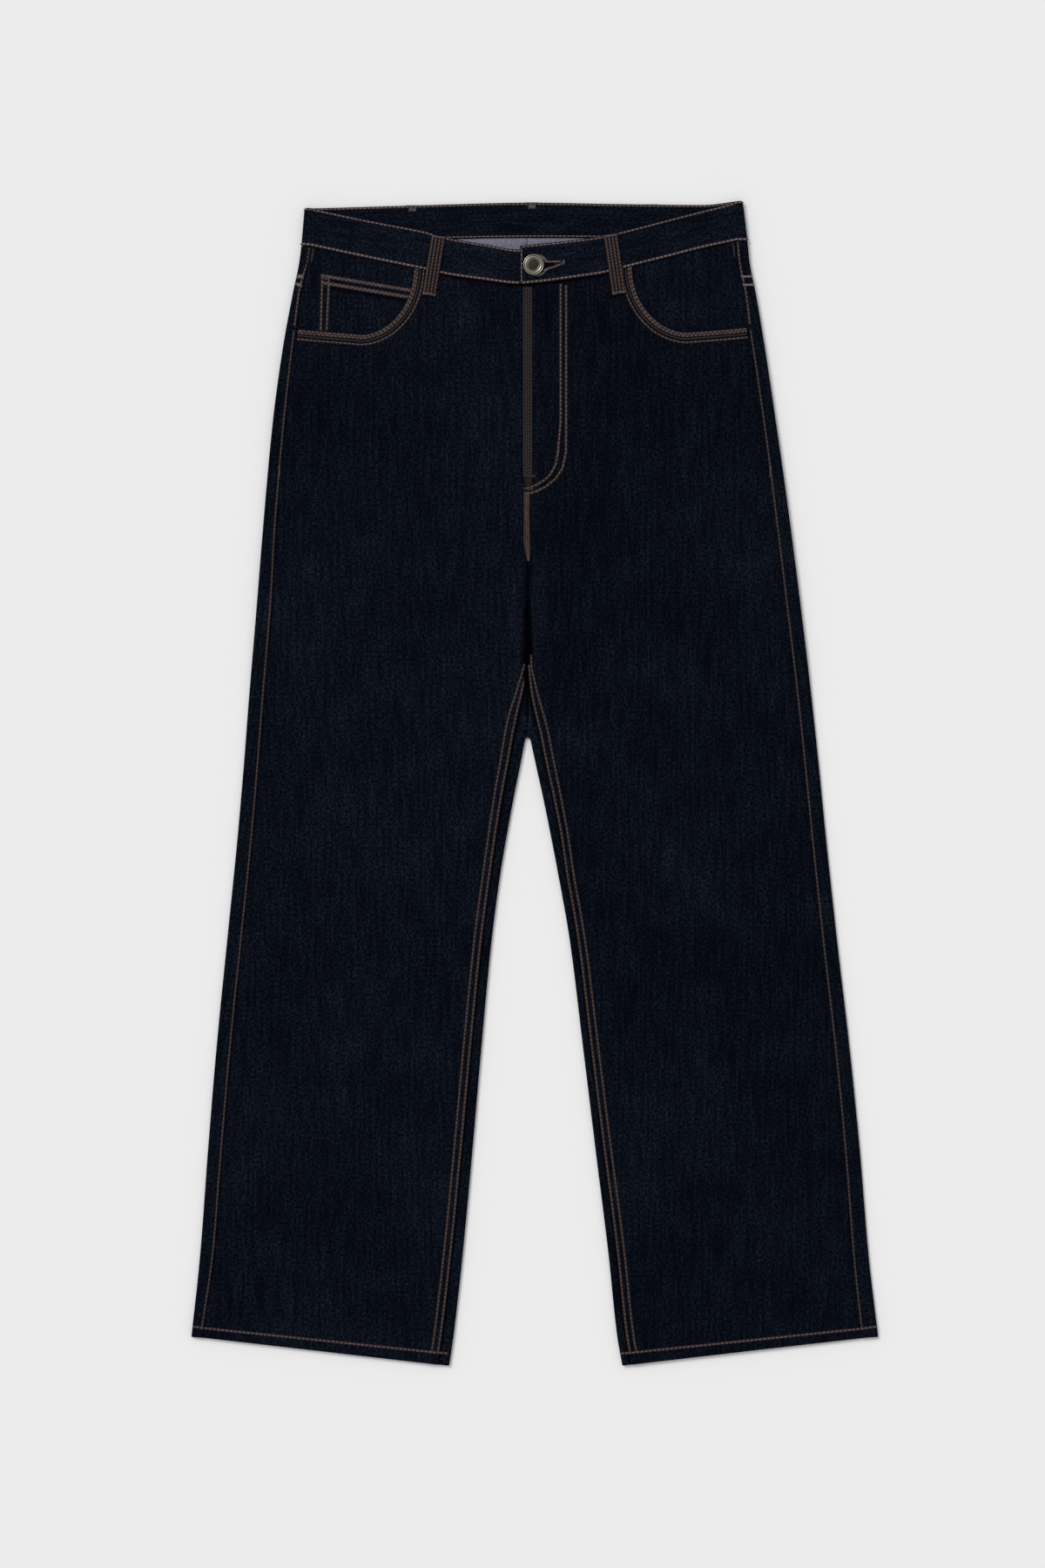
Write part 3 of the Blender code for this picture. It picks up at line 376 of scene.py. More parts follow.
def finished(name, bm, materials=(), soft=True):
    """Object made of a bmesh, with its materials and smooth shading if it is soft."""
    mesh = bpy.data.meshes.new(name)
    bm.to_mesh(mesh)
    bm.free()
    if soft:
        mesh.shade_smooth()
    for material in materials:
        mesh.materials.append(material)
    piece = bpy.data.objects.new(name, mesh)
    bpy.context.scene.collection.objects.link(piece)
    return piece


def new_material(name):
    """Empty material, its node tree and its Principled shader."""
    material = bpy.data.materials.new(name)
    material.use_nodes = True
    return material, material.node_tree, material.node_tree.nodes["Principled BSDF"]


TWILL_ACROSS, TWILL_UP = 1.7, 2.4       # repeat of a 3x1 twill of 0.42 by 0.6 mm yarns
FLECK_ACROSS, FLECK_UP = 2.2, 2.5       # pale weft that peeps out, drawn larger than its 0.6 mm
SLUB_ACROSS, SLUB_UP = 3.0, 46.0        # thick places in the warp yarns
NAP_PATCH = 19.0                        # flecks stand in looser and closer patches
DYE_PATCH = 130.0                       # slow change of the dye across the cloth
DEEPEST = -1.6                          # painted shade at which the cloth is as dark as in a closed gap


def denim_material(name, dark, light, fleck, fleck_share):
    """Yarn-dyed cotton twill: dull, a little soft sheen, steep fine ribs and weft flecks."""
    material, tree, shader = new_material(name)
    weave = add_node(tree, "UVMap", {"uv_map": "weave"}).outputs["UV"]

    def pattern(across, up):
        scale = (1.0 / (across * MM), 1.0 / (up * MM), 1.0)
        return add_node(tree, "Mapping", None, {"Vector": weave, "Scale": scale}).outputs["Vector"]

    def speckle(across, up, detail):
        return add_node(tree, "TexNoise", {"noise_dimensions": "2D"},
                        {"Vector": pattern(across, up), "Scale": 1.0, "Detail": detail,
                         "Roughness": 0.55}).outputs["Fac"]

    def spread(value, low, high, start=0.0, end=1.0):
        return add_node(tree, "MapRange", None, {"Value": value, "From Min": low, "From Max": high,
                                                 "To Min": start, "To Max": end}).outputs["Result"]

    def combined(kind, *values):
        return combine(tree, kind, *values)

    wave = 2.0 * math.pi / 10.0     # a band of the wave texture is this wide
    ribs = add_node(tree, "TexWave", {"wave_type": "BANDS", "bands_direction": "DIAGONAL"},
                    {"Vector": pattern(TWILL_ACROSS / wave, -TWILL_UP / wave), "Scale": 1.0,
                     "Distortion": 1.2, "Detail": 1.0, "Detail Scale": 1.6}).outputs["Fac"]
    flecks = speckle(FLECK_ACROSS, FLECK_UP, 2.0)
    slubs = spread(speckle(SLUB_ACROSS, SLUB_UP, 1.0), 0.3, 0.7)
    nap = spread(speckle(NAP_PATCH, NAP_PATCH * 1.4, 2.0), 0.3, 0.7)
    dye = spread(speckle(DYE_PATCH, DYE_PATCH, 2.0), 0.32, 0.68)
    # the attribute carries wear and painted light: above zero, paler yarn on worn edges and a
    # painted highlight on crease ridges; below zero, painted shade
    worn_and_shaded = add_node(tree, "Attribute", {"attribute_name": "wear_and_shade"}).outputs["Fac"]

    tone = combined("MULTIPLY_ADD", slubs, 0.3, combined("MULTIPLY", dye, 0.45))
    tone = combined("MULTIPLY_ADD", worn_and_shaded, 0.5, combined("MULTIPLY_ADD", ribs, 0.15, tone))
    yarn = blend(tree, tone, linear(dark), linear(light))
    share = combined("MULTIPLY_ADD", nap, 0.4, combined("MULTIPLY_ADD", slubs, 0.45, 0.3))
    share = combined("MULTIPLY", share, combined("MULTIPLY_ADD", tone, 0.7, 0.55))
    share = combined("MULTIPLY", share, spread(flecks, 0.36, 0.8, 0.0, fleck_share))
    colour = blend(tree, share, yarn, linear(fleck))
    # painted shade: below zero the cloth darkens towards near black
    shade = spread(worn_and_shaded, 0.0, DEEPEST, 0.0, 0.94)
    colour = blend(tree, shade, colour, linear("#010102"))
    tree.links.new(colour, shader.inputs["Base Color"])
    relief = combined("ADD", ribs, combined("MULTIPLY", flecks, 1.4))
    bump = add_node(tree, "Bump", None, {"Height": relief, "Strength": 0.3, "Distance": 0.25 * MM})
    tree.links.new(bump.outputs["Normal"], shader.inputs["Normal"])
    shader.inputs["Roughness"].default_value = 0.88
    shader.inputs["Specular IOR Level"].default_value = 0.01
    shader.inputs["Sheen Weight"].default_value = 0.004
    shader.inputs["Sheen Roughness"].default_value = 0.6
    shader.inputs["Sheen Tint"].default_value = linear("#8a94ac")
    return material


indigo_face = denim_material("indigo twill face", "#02040b", "#050810", "#485164", 0.155)
indigo_wrong = denim_material("indigo twill wrong side", "#62616f", "#868494", "#363749", 0.65)

surfaces = {}


def cloth(name, bm, node, wall=DENIM, hem=None):
    """Finished cloth piece: a sheet given its thickness, pale on its wrong side."""
    bmesh.ops.remove_doubles(bm, verts=bm.verts, dist=0.004 * MM)
    surfaces[name] = BVHTree.FromBMesh(bm)
    piece = finished(name, bm, (indigo_face, indigo_wrong))
    layers = piece.modifiers.new("layers", "SOLIDIFY")
    layers.offset = -1.0
    layers.use_even_offset = True
    layers.thickness = (HEM_WALL if hem else wall) * MM
    layers.material_offset = 1
    if hem:
        group = piece.vertex_groups.new(name="hem")
        group.add([v.index for v in piece.data.vertices
                   if hem_rise(hem, v.co.x / MM, v.co.y / MM) < HEM_HEIGHT + 2.5], 1.0, "REPLACE")
        layers.vertex_group = group.name
        layers.thickness_vertex_group = wall / HEM_WALL
    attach(piece, "root")
    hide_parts(node)
    return piece


UNDER_SHARES = np.linspace(0.0, 1.0, 27)[1:]
TUCK_SHADE = (-0.5, -1.2) + 4 * (DEEPEST,)       # the last columns lie in the seam's shadow
GAP_SHADE = 1.2                                  # and so does the cloth above the gap's tip

for leg in SIDE:
    s = leg_sections(leg)
    inner_low, inner_radius = seat_lift(s.inner[:, 1]), fold_radius(leg, s.inner)
    under_end = s.inner - s.inner_way * inner_radius[:, None]
    columns = wrapped(leg, s.outer, s.outer_way, s.side_strip, under_end, UNDER_SHARES)
    side_columns = len(columns)
    for k in range(1, FOLD_STEPS + 1):
        angle = math.pi * k / FOLD_STEPS
        plan = s.inner - s.inner_way * (inner_radius * (1.0 - math.sin(angle)))[:, None]
        columns.append((plan, inner_low + inner_radius * (1.0 - math.cos(angle))))
    top = inner_low + 2.0 * inner_radius
    beneath = s.height - SEAM_STEP
    wedge = smooth((s.seam[:, 1] - 60.0) / 50.0)
    for share in (0.12, 0.25, 0.4, 0.55, 0.7, 0.82, 0.9, 0.95, 1.0):
        dip = 0.8 * math.sin(math.pi * share) * wedge
        columns.append((mix(under_end, s.seam, share), mix(top, beneath, share ** 1.5) - dip))
    tuck_way = np.gradient(s.seam, axis=0)
    tuck_way /= np.linalg.norm(tuck_way, axis=1)[:, None]
    tuck_way = in_plan(tuck_way[:, 1], -tuck_way[:, 0]) * SIDE[leg]
    for share in (0.4, 1.0):
        columns.append((s.seam + tuck_way * SEAM_TUCK * share, beneath - 0.1 * share))
    x, y, z = stacked(columns)
    # painted shade in the tucked columns and in the cloth above the gap's tip
    worn_and_shaded = np.zeros(x.shape)
    worn_and_shaded[:, -len(TUCK_SHADE):] = TUCK_SHADE
    wedge = smooth((s.seam[:, 1:] - 86.0) / 18.0)
    worn_and_shaded = worn_and_shaded - GAP_SHADE * wedge * (np.arange(x.shape[1]) > side_columns + FOLD_STEPS)
    bm = bmesh.new()
    sheet(bm, x, y, z, worn_and_shaded)

    # above the tip of the gap the sheet ends at the centre back seam
    count = round((YOKE_SIDE_Y - SEAT_START_Y) / ROW_STEP)
    outer_y = np.linspace(SEAT_START_Y, YOKE_SIDE_Y - SEAM_HALF, count)
    outer, way = edge(OUTER_EDGE, leg, outer_y, SIDE[leg])
    centre_y = np.linspace(under_end[-1, 1], YOKE_CENTRE_Y - SEAM_HALF, count)
    centre = in_plan(np.full(count, under_end[-1, 0]), centre_y)
    strip = read(SIDE_STRIP, leg, outer_y)
    sheet(bm, *stacked(wrapped(leg, outer, way, strip, centre, UNDER_SHARES)))
    if leg == "r":
        bmesh.ops.reverse_faces(bm, faces=bm.faces)
    cloth("back_leg_" + leg, bm, "back_panel_" + leg,
          hem=leg)

# ---- patch pockets on the seat ------------------------------------------------------------
# One plain five-sided pocket on each side of the seat, of the same denim with its edges
# turned in. The jeans lie on them. Two rows of copper thread hold each one.

PATCH_WALL = 1.0
POCKET_X = {"r": -120.0, "l": 104.0}
POCKET_TOP_Y, POCKET_HALF_TOP, POCKET_HALF_LOW = 408.0, 78.0, 68.0
POCKET_SIDE_DROP, POCKET_POINT_DROP, POCKET_LEAN = 128.0, 158.0, 0.035


def pocket_outline(leg, inset, lean=POCKET_LEAN):
    """Corners of a patch pocket in plan, moved in from its edge."""
    top, low = POCKET_HALF_TOP - inset, POCKET_HALF_LOW - inset
    corners = [(-top, -inset), (-low, -POCKET_SIDE_DROP), (0.0, -POCKET_POINT_DROP + 1.1 * inset),
               (low, -POCKET_SIDE_DROP), (top, -inset)]
    turn = SIDE[leg] * lean
    return [(POCKET_X[leg] + x - y * turn, POCKET_TOP_Y + y + x * turn) for x, y in corners]


for leg in SIDE:
    left, left_low, point, right_low, right = [np.array(c) for c in pocket_outline(leg, 0.0)]
    across = np.linspace(0.0, 1.0, 41)[None, :, None]
    down = np.linspace(0.0, 1.0, 41)[:, None, None]
    low_edge = np.where(across < 0.5, mix(left_low, point, across * 2.0),
                        mix(point, right_low, across * 2.0 - 1.0))
    plan = mix(low_edge, mix(left, right, across), down)
    edge_share = np.minimum(np.minimum(across, 1.0 - across), np.minimum(down, 1.0 - down))[..., 0]
    z = FLOOR_GAP + 0.25 * (1.0 - smooth(edge_share * 40.0))
    bm = bmesh.new()
    sheet(bm, plan[..., 0], plan[..., 1], z)
    bmesh.ops.reverse_faces(bm, faces=bm.faces)
    cloth("seat_pocket_" + leg, bm, "back_pocket_" + leg,
          wall=PATCH_WALL)

# ---- back yokes ---------------------------------------------------------------------------
# A yoke on each side between the back panel and the waistband, lapped over the panel and
# wrapped round the hip to the side seam. Its pale wrong side shows through the waist opening.

Band = namedtuple("Band", "x top low z")
BAND_FRONT_L = (
    Band(-13.8, 504.9, 468.4, 8.6),
    Band(8.0, 507.1, 470.5, 8.6),
    Band(27.0, 509.1, 473.0, 8.6),
    Band(42.0, 511.0, 475.2, 7.8),
    Band(63.1, 514.1, 478.5, 6.5),
    Band(86.9, 519.9, 484.6, 6.3),
    Band(126.3, 530.1, 494.5, 6.3),
    Band(158.3, 538.3, 502.7, 6.4),
    Band(180.0, 543.6, 507.4, 6.7),
    Band(190.0, 547.0, 509.6, 6.8),
)
BAND_BACK = (
    Band(-211.0, 540.6, 505.1, SEAT_LIFT),
    Band(-180.0, 541.4, 507.2, SEAT_LIFT),
    Band(-104.1, 543.7, 511.2, SEAT_LIFT),
    Band(-1.6, 546.1, 512.9, SEAT_LIFT),
    Band(70.5, 544.9, 512.5, SEAT_LIFT),
    Band(158.0, 543.9, 511.2, SEAT_LIFT),
    Band(190.0, 547.3, 509.6, SEAT_LIFT),
)
BAND_FRONT_R = (
    Band(-211.0, 540.6, 504.6, 6.8),
    Band(-196.0, 537.4, 501.4, 6.6),
    Band(-159.1, 529.7, 493.6, 6.4),
    Band(-103.3, 518.7, 482.2, 6.3),
    Band(-80.4, 512.5, 477.2, 6.2),
    Band(-46.0, 506.4, 472.4, 6.1),
    Band(-14.8, 501.6, 468.9, 6.0),
    Band(18.0, 505.0, 473.6, 6.0),
)
BAND_FRONT = {"r": BAND_FRONT_R, "l": BAND_FRONT_L}
BAND_CORNER = {"r": BAND_FRONT_R[0], "l": BAND_FRONT_L[-1]}
YOKE_LAP = 0.35         # the yoke stands proud of the panel at its lower edge


def band_low(leg, x):
    return read(BAND_FRONT[leg], "low", x, key="x")


for leg in SIDE:
    share = np.append([0.0, 0.01, 0.025, 0.06, 0.12], np.linspace(0.2, 1.0, 14))
    outer_y = mix(YOKE_SIDE_Y + SEAM_HALF, BAND_CORNER[leg].low, share)
    outer, way = edge(OUTER_EDGE, leg, outer_y, SIDE[leg])
    centre_x = CENTRE_X + SIDE[leg] * SEAM_HALF
    centre_y = mix(YOKE_CENTRE_Y + SEAM_HALF, read(BAND_BACK, "low", centre_x, key="x"), share)
    centre = in_plan(np.full(len(share), centre_x), centre_y)
    x, y, z = stacked(wrapped(leg, outer, way, read(SIDE_STRIP, leg, outer_y), centre,
                              np.linspace(0.0, 1.0, 61)[1:]))
    under = np.clip((np.arange(x.shape[1]) - len(SIDE_SHARES)) / FOLD_STEPS, 0.0, 1.0)
    low = mix(band_low(leg, x[-1]) - SEAM_HALF, read(BAND_BACK, "low", x[-1], key="x") - 0.5, under)
    ease = smooth((share - 0.6) / 0.4)[:, None]
    y = mix(y, low[None, :] - (1.0 - share[:, None]) * (low[None, :] - y[:1]), ease)
    rise = (y - y[:1])
    lap = YOKE_LAP * (1.0 - smooth((rise - 9.0) / 4.0)) - rolled(rise) * 0.7
    facing_out = mix(1.0, -1.0, under)[None, :]
    z = z + lap * facing_out
    bm = bmesh.new()
    sheet(bm, x, y, z)
    if leg == "r":
        bmesh.ops.reverse_faces(bm, faces=bm.faces)
    cloth("yoke_" + leg, bm, "back_yoke_" + leg)

# ---- pocket facings -----------------------------------------------------------------------
# The denim that closes each pocket scoop from behind, sewn in at the side and the waistband
# and running on beneath the front.

Scoop = namedtuple("Scoop", "side_y turn_x turn_y waist_x waist_y")
SCOOP = {
    "r": Scoop(426.4, -163.0, 419.8, -113.4, 484.2),
    "l": Scoop(428.0, 142.7, 421.5, 91.4, 485.7),
}
SCOOP_RUN = 0.34        # share of its edge on the straight run beside the side seam
FACING_HEIGHT, FACING_AT_SIDE, FACING_AT_SCOOP, FACING_AT_WAIST = 3.9, 6.2, 4.6, 4.9
FACING_UNDER = 12.0
FACING_WEAR = 0.25      # a little paler than the fronts


def scoop_point(leg, share):
    """Edge of the front at the pocket, from the side seam (0) to the waistband (1)."""
    scoop = SCOOP[leg]
    side_x = side_seam_x(leg, scoop.side_y)
    t = np.minimum(share / SCOOP_RUN, 1.0)
    turn = np.maximum((share - SCOOP_RUN) / (1.0 - SCOOP_RUN), 0.0) * math.pi / 2
    x = mix(side_x, scoop.turn_x, t) + (scoop.waist_x - scoop.turn_x) * np.sin(turn)
    y = mix(scoop.side_y, scoop.turn_y, t) + (scoop.waist_y - scoop.turn_y) * (1.0 - np.cos(turn))
    return in_plan(x, y)


def below_scoop(leg, x, under):
    """Lower edge of what lies under the scoop, a margin past its edge."""
    scoop = SCOOP[leg]
    side = scoop_point(leg, np.zeros(1))[0]
    straight = mix(scoop.turn_y, side[1], (x - scoop.turn_x) / (side[0] - scoop.turn_x)) - under
    reach = abs(scoop.waist_x - scoop.turn_x) + under
    across = np.clip(np.abs(x - scoop.turn_x) / reach, 0.0, 1.0)
    depth = scoop.waist_y - scoop.turn_y + under
    curved = scoop.waist_y - depth * np.sqrt(1.0 - across * across)
    return np.where((x - scoop.turn_x) * SIDE[leg] >= 0.0, straight, curved)


def facing_height(leg, x, y):
    """Upper face of a pocket facing: high at the side and waist seams, low under the front."""
    side_x = side_seam_x(leg, y)
    from_side, from_waist = (side_x - x) * SIDE[leg], band_low(leg, x) - y
    side_level = mix(FACING_AT_SCOOP, FACING_AT_SIDE, smooth((y - SCOOP[leg].side_y - 5.0) / 22.0))
    side_rise = (side_level - FACING_HEIGHT) * (1.0 - smooth(from_side / 24.0))
    waist_rise = (FACING_AT_WAIST - FACING_HEIGHT) * (1.0 - smooth(from_waist / 20.0))
    under_strip = (SEAM_STEP - SEAM_RIDGE) * (1.0 - smooth(from_side / 5.0))
    return FACING_HEIGHT + np.maximum(side_rise, waist_rise) - under_strip


for leg in SIDE:
    share, rise = np.meshgrid(np.linspace(-0.045, 1.0, 60), np.linspace(0.0, 1.0, 40))
    end_x = SCOOP[leg].waist_x - SIDE[leg] * (FACING_UNDER - 1.2)
    x = mix(SCOOP[leg].turn_x + SIDE[leg] * 60.0, end_x, share)
    for _ in range(3):      # x at the side seam depends on y, and y a little on x
        y = mix(below_scoop(leg, x, FACING_UNDER), band_low(leg, x) - SEAM_HALF, rise)
        x = mix(side_seam_x(leg, y), end_x, share)
    bm = bmesh.new()
    sheet(bm, x, y, facing_height(leg, x, y) + 0.12 * ripple(x + y, 14.0, SIDE[leg] + 4.0),
          np.full(x.shape, FACING_WEAR))
    if leg == "l":
        bmesh.ops.reverse_faces(bm, faces=bm.faces)
    cloth("facing_" + leg, bm, "pocket_facing_" + leg)

# ---- coin pocket --------------------------------------------------------------------------
# The small fifth pocket on the right facing. Its open edge is turned in and sewn twice, its
# outer side twice, and its lower end runs on beneath the front.

COIN_LEFT_X, COIN_RIGHT_X = -201.8, -114.5
COIN_LEFT_TOP_Y, COIN_TOP_FALL, COIN_UNDER = 478.8, 0.166, 4.0
COIN_ROWS = (1.1, 7.6)          # stitching below its open edge
COIN_SIDE_ROWS = ((2.2, 0.6), (8.6, 6.2))       # and beside its outer edge, from top to end
COIN_SIDE_END_Y = 424.6
EDGE_WEAR = 0.7                 # folded edges show paler yarn

share, rise = np.meshgrid(np.append([0.0, 0.004, 0.012, 0.03], np.linspace(0.06, 1.0, 40)),
                          np.append(np.linspace(0.0, 0.94, 30), [0.965, 0.985, 0.995, 1.0]))
x = mix(COIN_LEFT_X, COIN_RIGHT_X, share)
coin_top = COIN_LEFT_TOP_Y - (x - COIN_LEFT_X) * COIN_TOP_FALL
y = mix(below_scoop("r", x, COIN_UNDER), coin_top, rise)
z = facing_height("r", x, y) + DENIM + 0.4 + 0.15 * ripple(x, 9.0, 2.0) * smooth(rise * 2.0 - 1.0)
z = z - 0.6 * (rolled(coin_top - y) + rolled(x - COIN_LEFT_X))
bm = bmesh.new()
# painted shadow line below the lower row of stitching
shadow = np.exp(-((coin_top - y - 11.6) / 1.3) ** 2) * smooth((x - COIN_LEFT_X - 9.0) / 4.0)
sheet(bm, x, y, z, wear_and_shade=EDGE_WEAR * (1.0 - smooth((coin_top - y) / 1.6)) - 1.3 * shadow)
cloth("small_pocket", bm, "coin_pocket")

# ---- front leg panels ---------------------------------------------------------------------
# The upper sheet of each leg, from the hem to the waistband, with the pocket scoop cut out.
# Its inseam edge is folded and laps over the back panel, its side edge runs on beneath it,
# and the left front laps over the right one at the fly.

FLY_END_Y, FLY_LAP_X, FLY_LAP_LOW_Y, FLY_UNDERLAP_X = 268.0, -10.7, 212.0, 2.5
FLY_LAP_RISE = 1.7
SIDE_EASE, INNER_EASE = 70.0, 60.0      # the cloth settles this far in from its seams
SCOOP_HEIGHT, SCOOP_LIFT_WIDTH = 6.8, 26.0
PUCKER = 0.16
FRONT_DARKER = {"r": 0.0, "l": 0.12}    # the left front is a little darker in the photograph
CENTRE_LAP = 1.2        # the right front runs on under the left one at the crotch seam

# The crotch seam sinks between the legs: depth and half width of its groove.
Groove = namedtuple("Groove", "y depth half")
GROOVE = (
    Groove(86.0, 0.2, 1.6),
    Groove(96.0, 1.6, 2.6),
    Groove(106.0, 3.2, 4.2),
    Groove(118.0, 3.6, 4.8),
    Groove(130.0, 3.4, 4.2),
    Groove(148.0, 3.0, 3.4),
    Groove(166.0, 2.1, 2.5),
    Groove(178.0, 1.0, 2.1),
    Groove(208.0, 0.9, 2.0),
    Groove(220.0, 0.0, 1.6),
)

# Each row of the hip runs from a height at the fold to one at the front's inner edge.
Hip = namedtuple("Hip", "outer_y front_y")
HIP = (
    Hip(84.0, 110.0),
    Hip(120.0, 134.0),
    Hip(158.0, 160.0),
    Hip(196.0, 186.0),
    Hip(232.0, 212.0),
    Hip(268.0, 236.0),
    Hip(300.0, 254.0),
    Hip(330.0, 268.0),
    Hip(360.0, 282.0),
    Hip(392.0, 294.0),
    Hip(428.0, 308.0),
)

# Soft ridges of the cloth from a to b.
Fold = namedtuple("Fold", "ax ay bx by width rise")
FOLDS = {
    "r": (
        Fold(-17.0, 96.0, -16.0, 214.0, 5.5, 2.0),
        Fold(-30.0, 60.0, -150.0, -6.0, 13.0, 1.0),
        Fold(-42.0, -26.0, -128.0, -92.0, 12.0, 0.9),
        Fold(-32.0, 150.0, -130.0, 214.0, 15.0, 0.9),
        Fold(-232.0, 60.0, -206.0, 236.0, 15.0, 1.0),
        Fold(-170.0, -160.0, -196.0, -330.0, 17.0, 0.8),
        Fold(-214.0, -446.0, -148.0, -482.0, 13.0, 0.8),
        Fold(-118.0, -290.0, -104.0, -430.0, 14.0, 0.7),
        Fold(-60.0, 330.0, -90.0, 236.0, 16.0, 0.8),
        Fold(-66.0, 88.0, -176.0, 96.0, 9.0, 0.45),
        Fold(-244.0, -70.0, -170.0, -44.0, 10.0, 0.5),
        Fold(-238.0, -236.0, -150.0, -268.0, 12.0, 0.4),
        Fold(-98.0, -140.0, -214.0, -118.0, 9.0, 0.35),
        Fold(-134.0, 300.0, -196.0, 372.0, 12.0, 0.5),
        Fold(-96.0, -486.0, -180.0, -462.0, 8.0, 0.4),
    ),
    "l": (
        Fold(4.0, 96.0, 3.0, 214.0, 5.5, 2.0),
        Fold(20.0, 52.0, 118.0, -22.0, 13.0, 1.0),
        Fold(120.0, -70.0, 214.0, -148.0, 12.0, 1.2),
        Fold(26.0, 154.0, 116.0, 222.0, 15.0, 0.9),
        Fold(226.0, 60.0, 196.0, 226.0, 15.0, 1.0),
        Fold(148.0, -190.0, 168.0, -330.0, 16.0, 0.8),
        Fold(206.0, -432.0, 146.0, -476.0, 13.0, 0.8),
        Fold(92.0, -280.0, 108.0, -410.0, 14.0, 0.7),
        Fold(78.0, 336.0, 102.0, 240.0, 16.0, 0.8),
        Fold(150.0, -108.0, 226.0, -160.0, 7.0, 0.5),
        Fold(58.0, 94.0, 160.0, 106.0, 9.0, 0.45),
        Fold(236.0, -40.0, 170.0, -20.0, 10.0, 0.5),
        Fold(252.0, -250.0, 168.0, -282.0, 12.0, 0.4),
        Fold(116.0, 296.0, 176.0, 360.0, 12.0, 0.5),
        Fold(98.0, -492.0, 186.0, -466.0, 8.0, 0.4),
    ),
}


def ridge(x, y, fold):
    """Soft ridge along a fold, from 0 to 1, fading at both ends."""
    run_x, run_y = fold.bx - fold.ax, fold.by - fold.ay
    length = math.hypot(run_x, run_y)
    along = ((x - fold.ax) * run_x + (y - fold.ay) * run_y) / length ** 2
    across = ((x - fold.ax) * run_y - (y - fold.ay) * run_x) / length
    ends = smooth((along + 0.1) / 0.3) * smooth((1.1 - along) / 0.3)
    return ends * np.exp(-(across / fold.width) ** 2)


def centre_edge(leg, y):
    """Inner edge of a front above the crotch point: centre seam, then the fly."""
    if leg == "r":
        under = CENTRE_X + CENTRE_LAP * smooth((y - CROTCH_POINT_Y) / 12.0)
        return mix(under, FLY_UNDERLAP_X, smooth((y - FLY_END_Y - 2.0) / 22.0))
    return mix(CENTRE_X, FLY_LAP_X, smooth((y - FLY_LAP_LOW_Y) / 36.0))


def inner_seam_x(leg, y):
    """Inner edge of a front at any height: inseam, crotch or centre."""
    seam = leg_sections(leg).seam
    return np.where(y >= CROTCH_POINT_Y, centre_edge(leg, y), np.interp(y, seam[:, 1], seam[:, 0]))


def front_height(leg, x, y):
    """Upper face of a front panel."""
    side_x = side_seam_x(leg, y)
    middle = cloth_height("middle", leg, x, y)
    from_side, from_inner = np.abs(x - side_x), np.abs(x - inner_seam_x(leg, y))
    z = middle + (cloth_height("fold", leg, x, y) - middle) * (1.0 - smooth(from_side / SIDE_EASE))
    z += (cloth_height("inner", leg, x, y) - middle) * (1.0 - smooth(from_inner / INNER_EASE))
    z += smooth((hem_rise(leg, x, y) - HEM_HEIGHT) / HEM_EASE) * creases(leg, x, y)
    line = scoop_point(leg, np.linspace(0.0, 1.0, 49))
    to_scoop = np.min(np.hypot(line[:, 0] - x[..., None], line[:, 1] - y[..., None]), axis=-1)
    lift = 1.0 - smooth((to_scoop - 2.0) / SCOOP_LIFT_WIDTH)
    z = np.where(y > 360.0, np.maximum(z, mix(z, SCOOP_HEIGHT, lift)), z)
    if leg == "l":
        above_end = smooth((y - FLY_LAP_LOW_Y + 20.0) / 16.0)
        z += FLY_LAP_RISE * above_end * (1.0 - smooth((x - FLY_UNDERLAP_X - 5.5) / 12.0))
    return z


def creases(leg, x, y):
    return sum(fold.rise * ridge(x, y, fold) for fold in FOLDS[leg])


FRONT_OUT = (0.0, 0.3, 0.7, 1.4, 2.3, 3.2, 4.6, 6.2, 8.0, 10.0, 13.0)
FRONT_IN = (13.5, 10.5, 8.6, 7.2, 5.8, 4.4, 3.2, 2.2, 1.4, 0.7, 0.3, 0.0)
FRONT_MIDDLE = 36
SCOOP_ROWS = 90

# Distances of the two inseam rows from the seam's edge: they draw together at the crotch.
Rows = namedtuple("Rows", "y near far")
INSEAM_ROWS = (
    Rows(-548.0, 1.4, 7.2),
    Rows(-60.0, 1.4, 7.2),
    Rows(10.0, 1.4, 8.0),
    Rows(56.0, 1.4, 8.4),
    Rows(92.0, 1.3, 5.6),
    Rows(112.0, 1.6, 3.6),
    Rows(124.0, 2.0, 3.2),
)

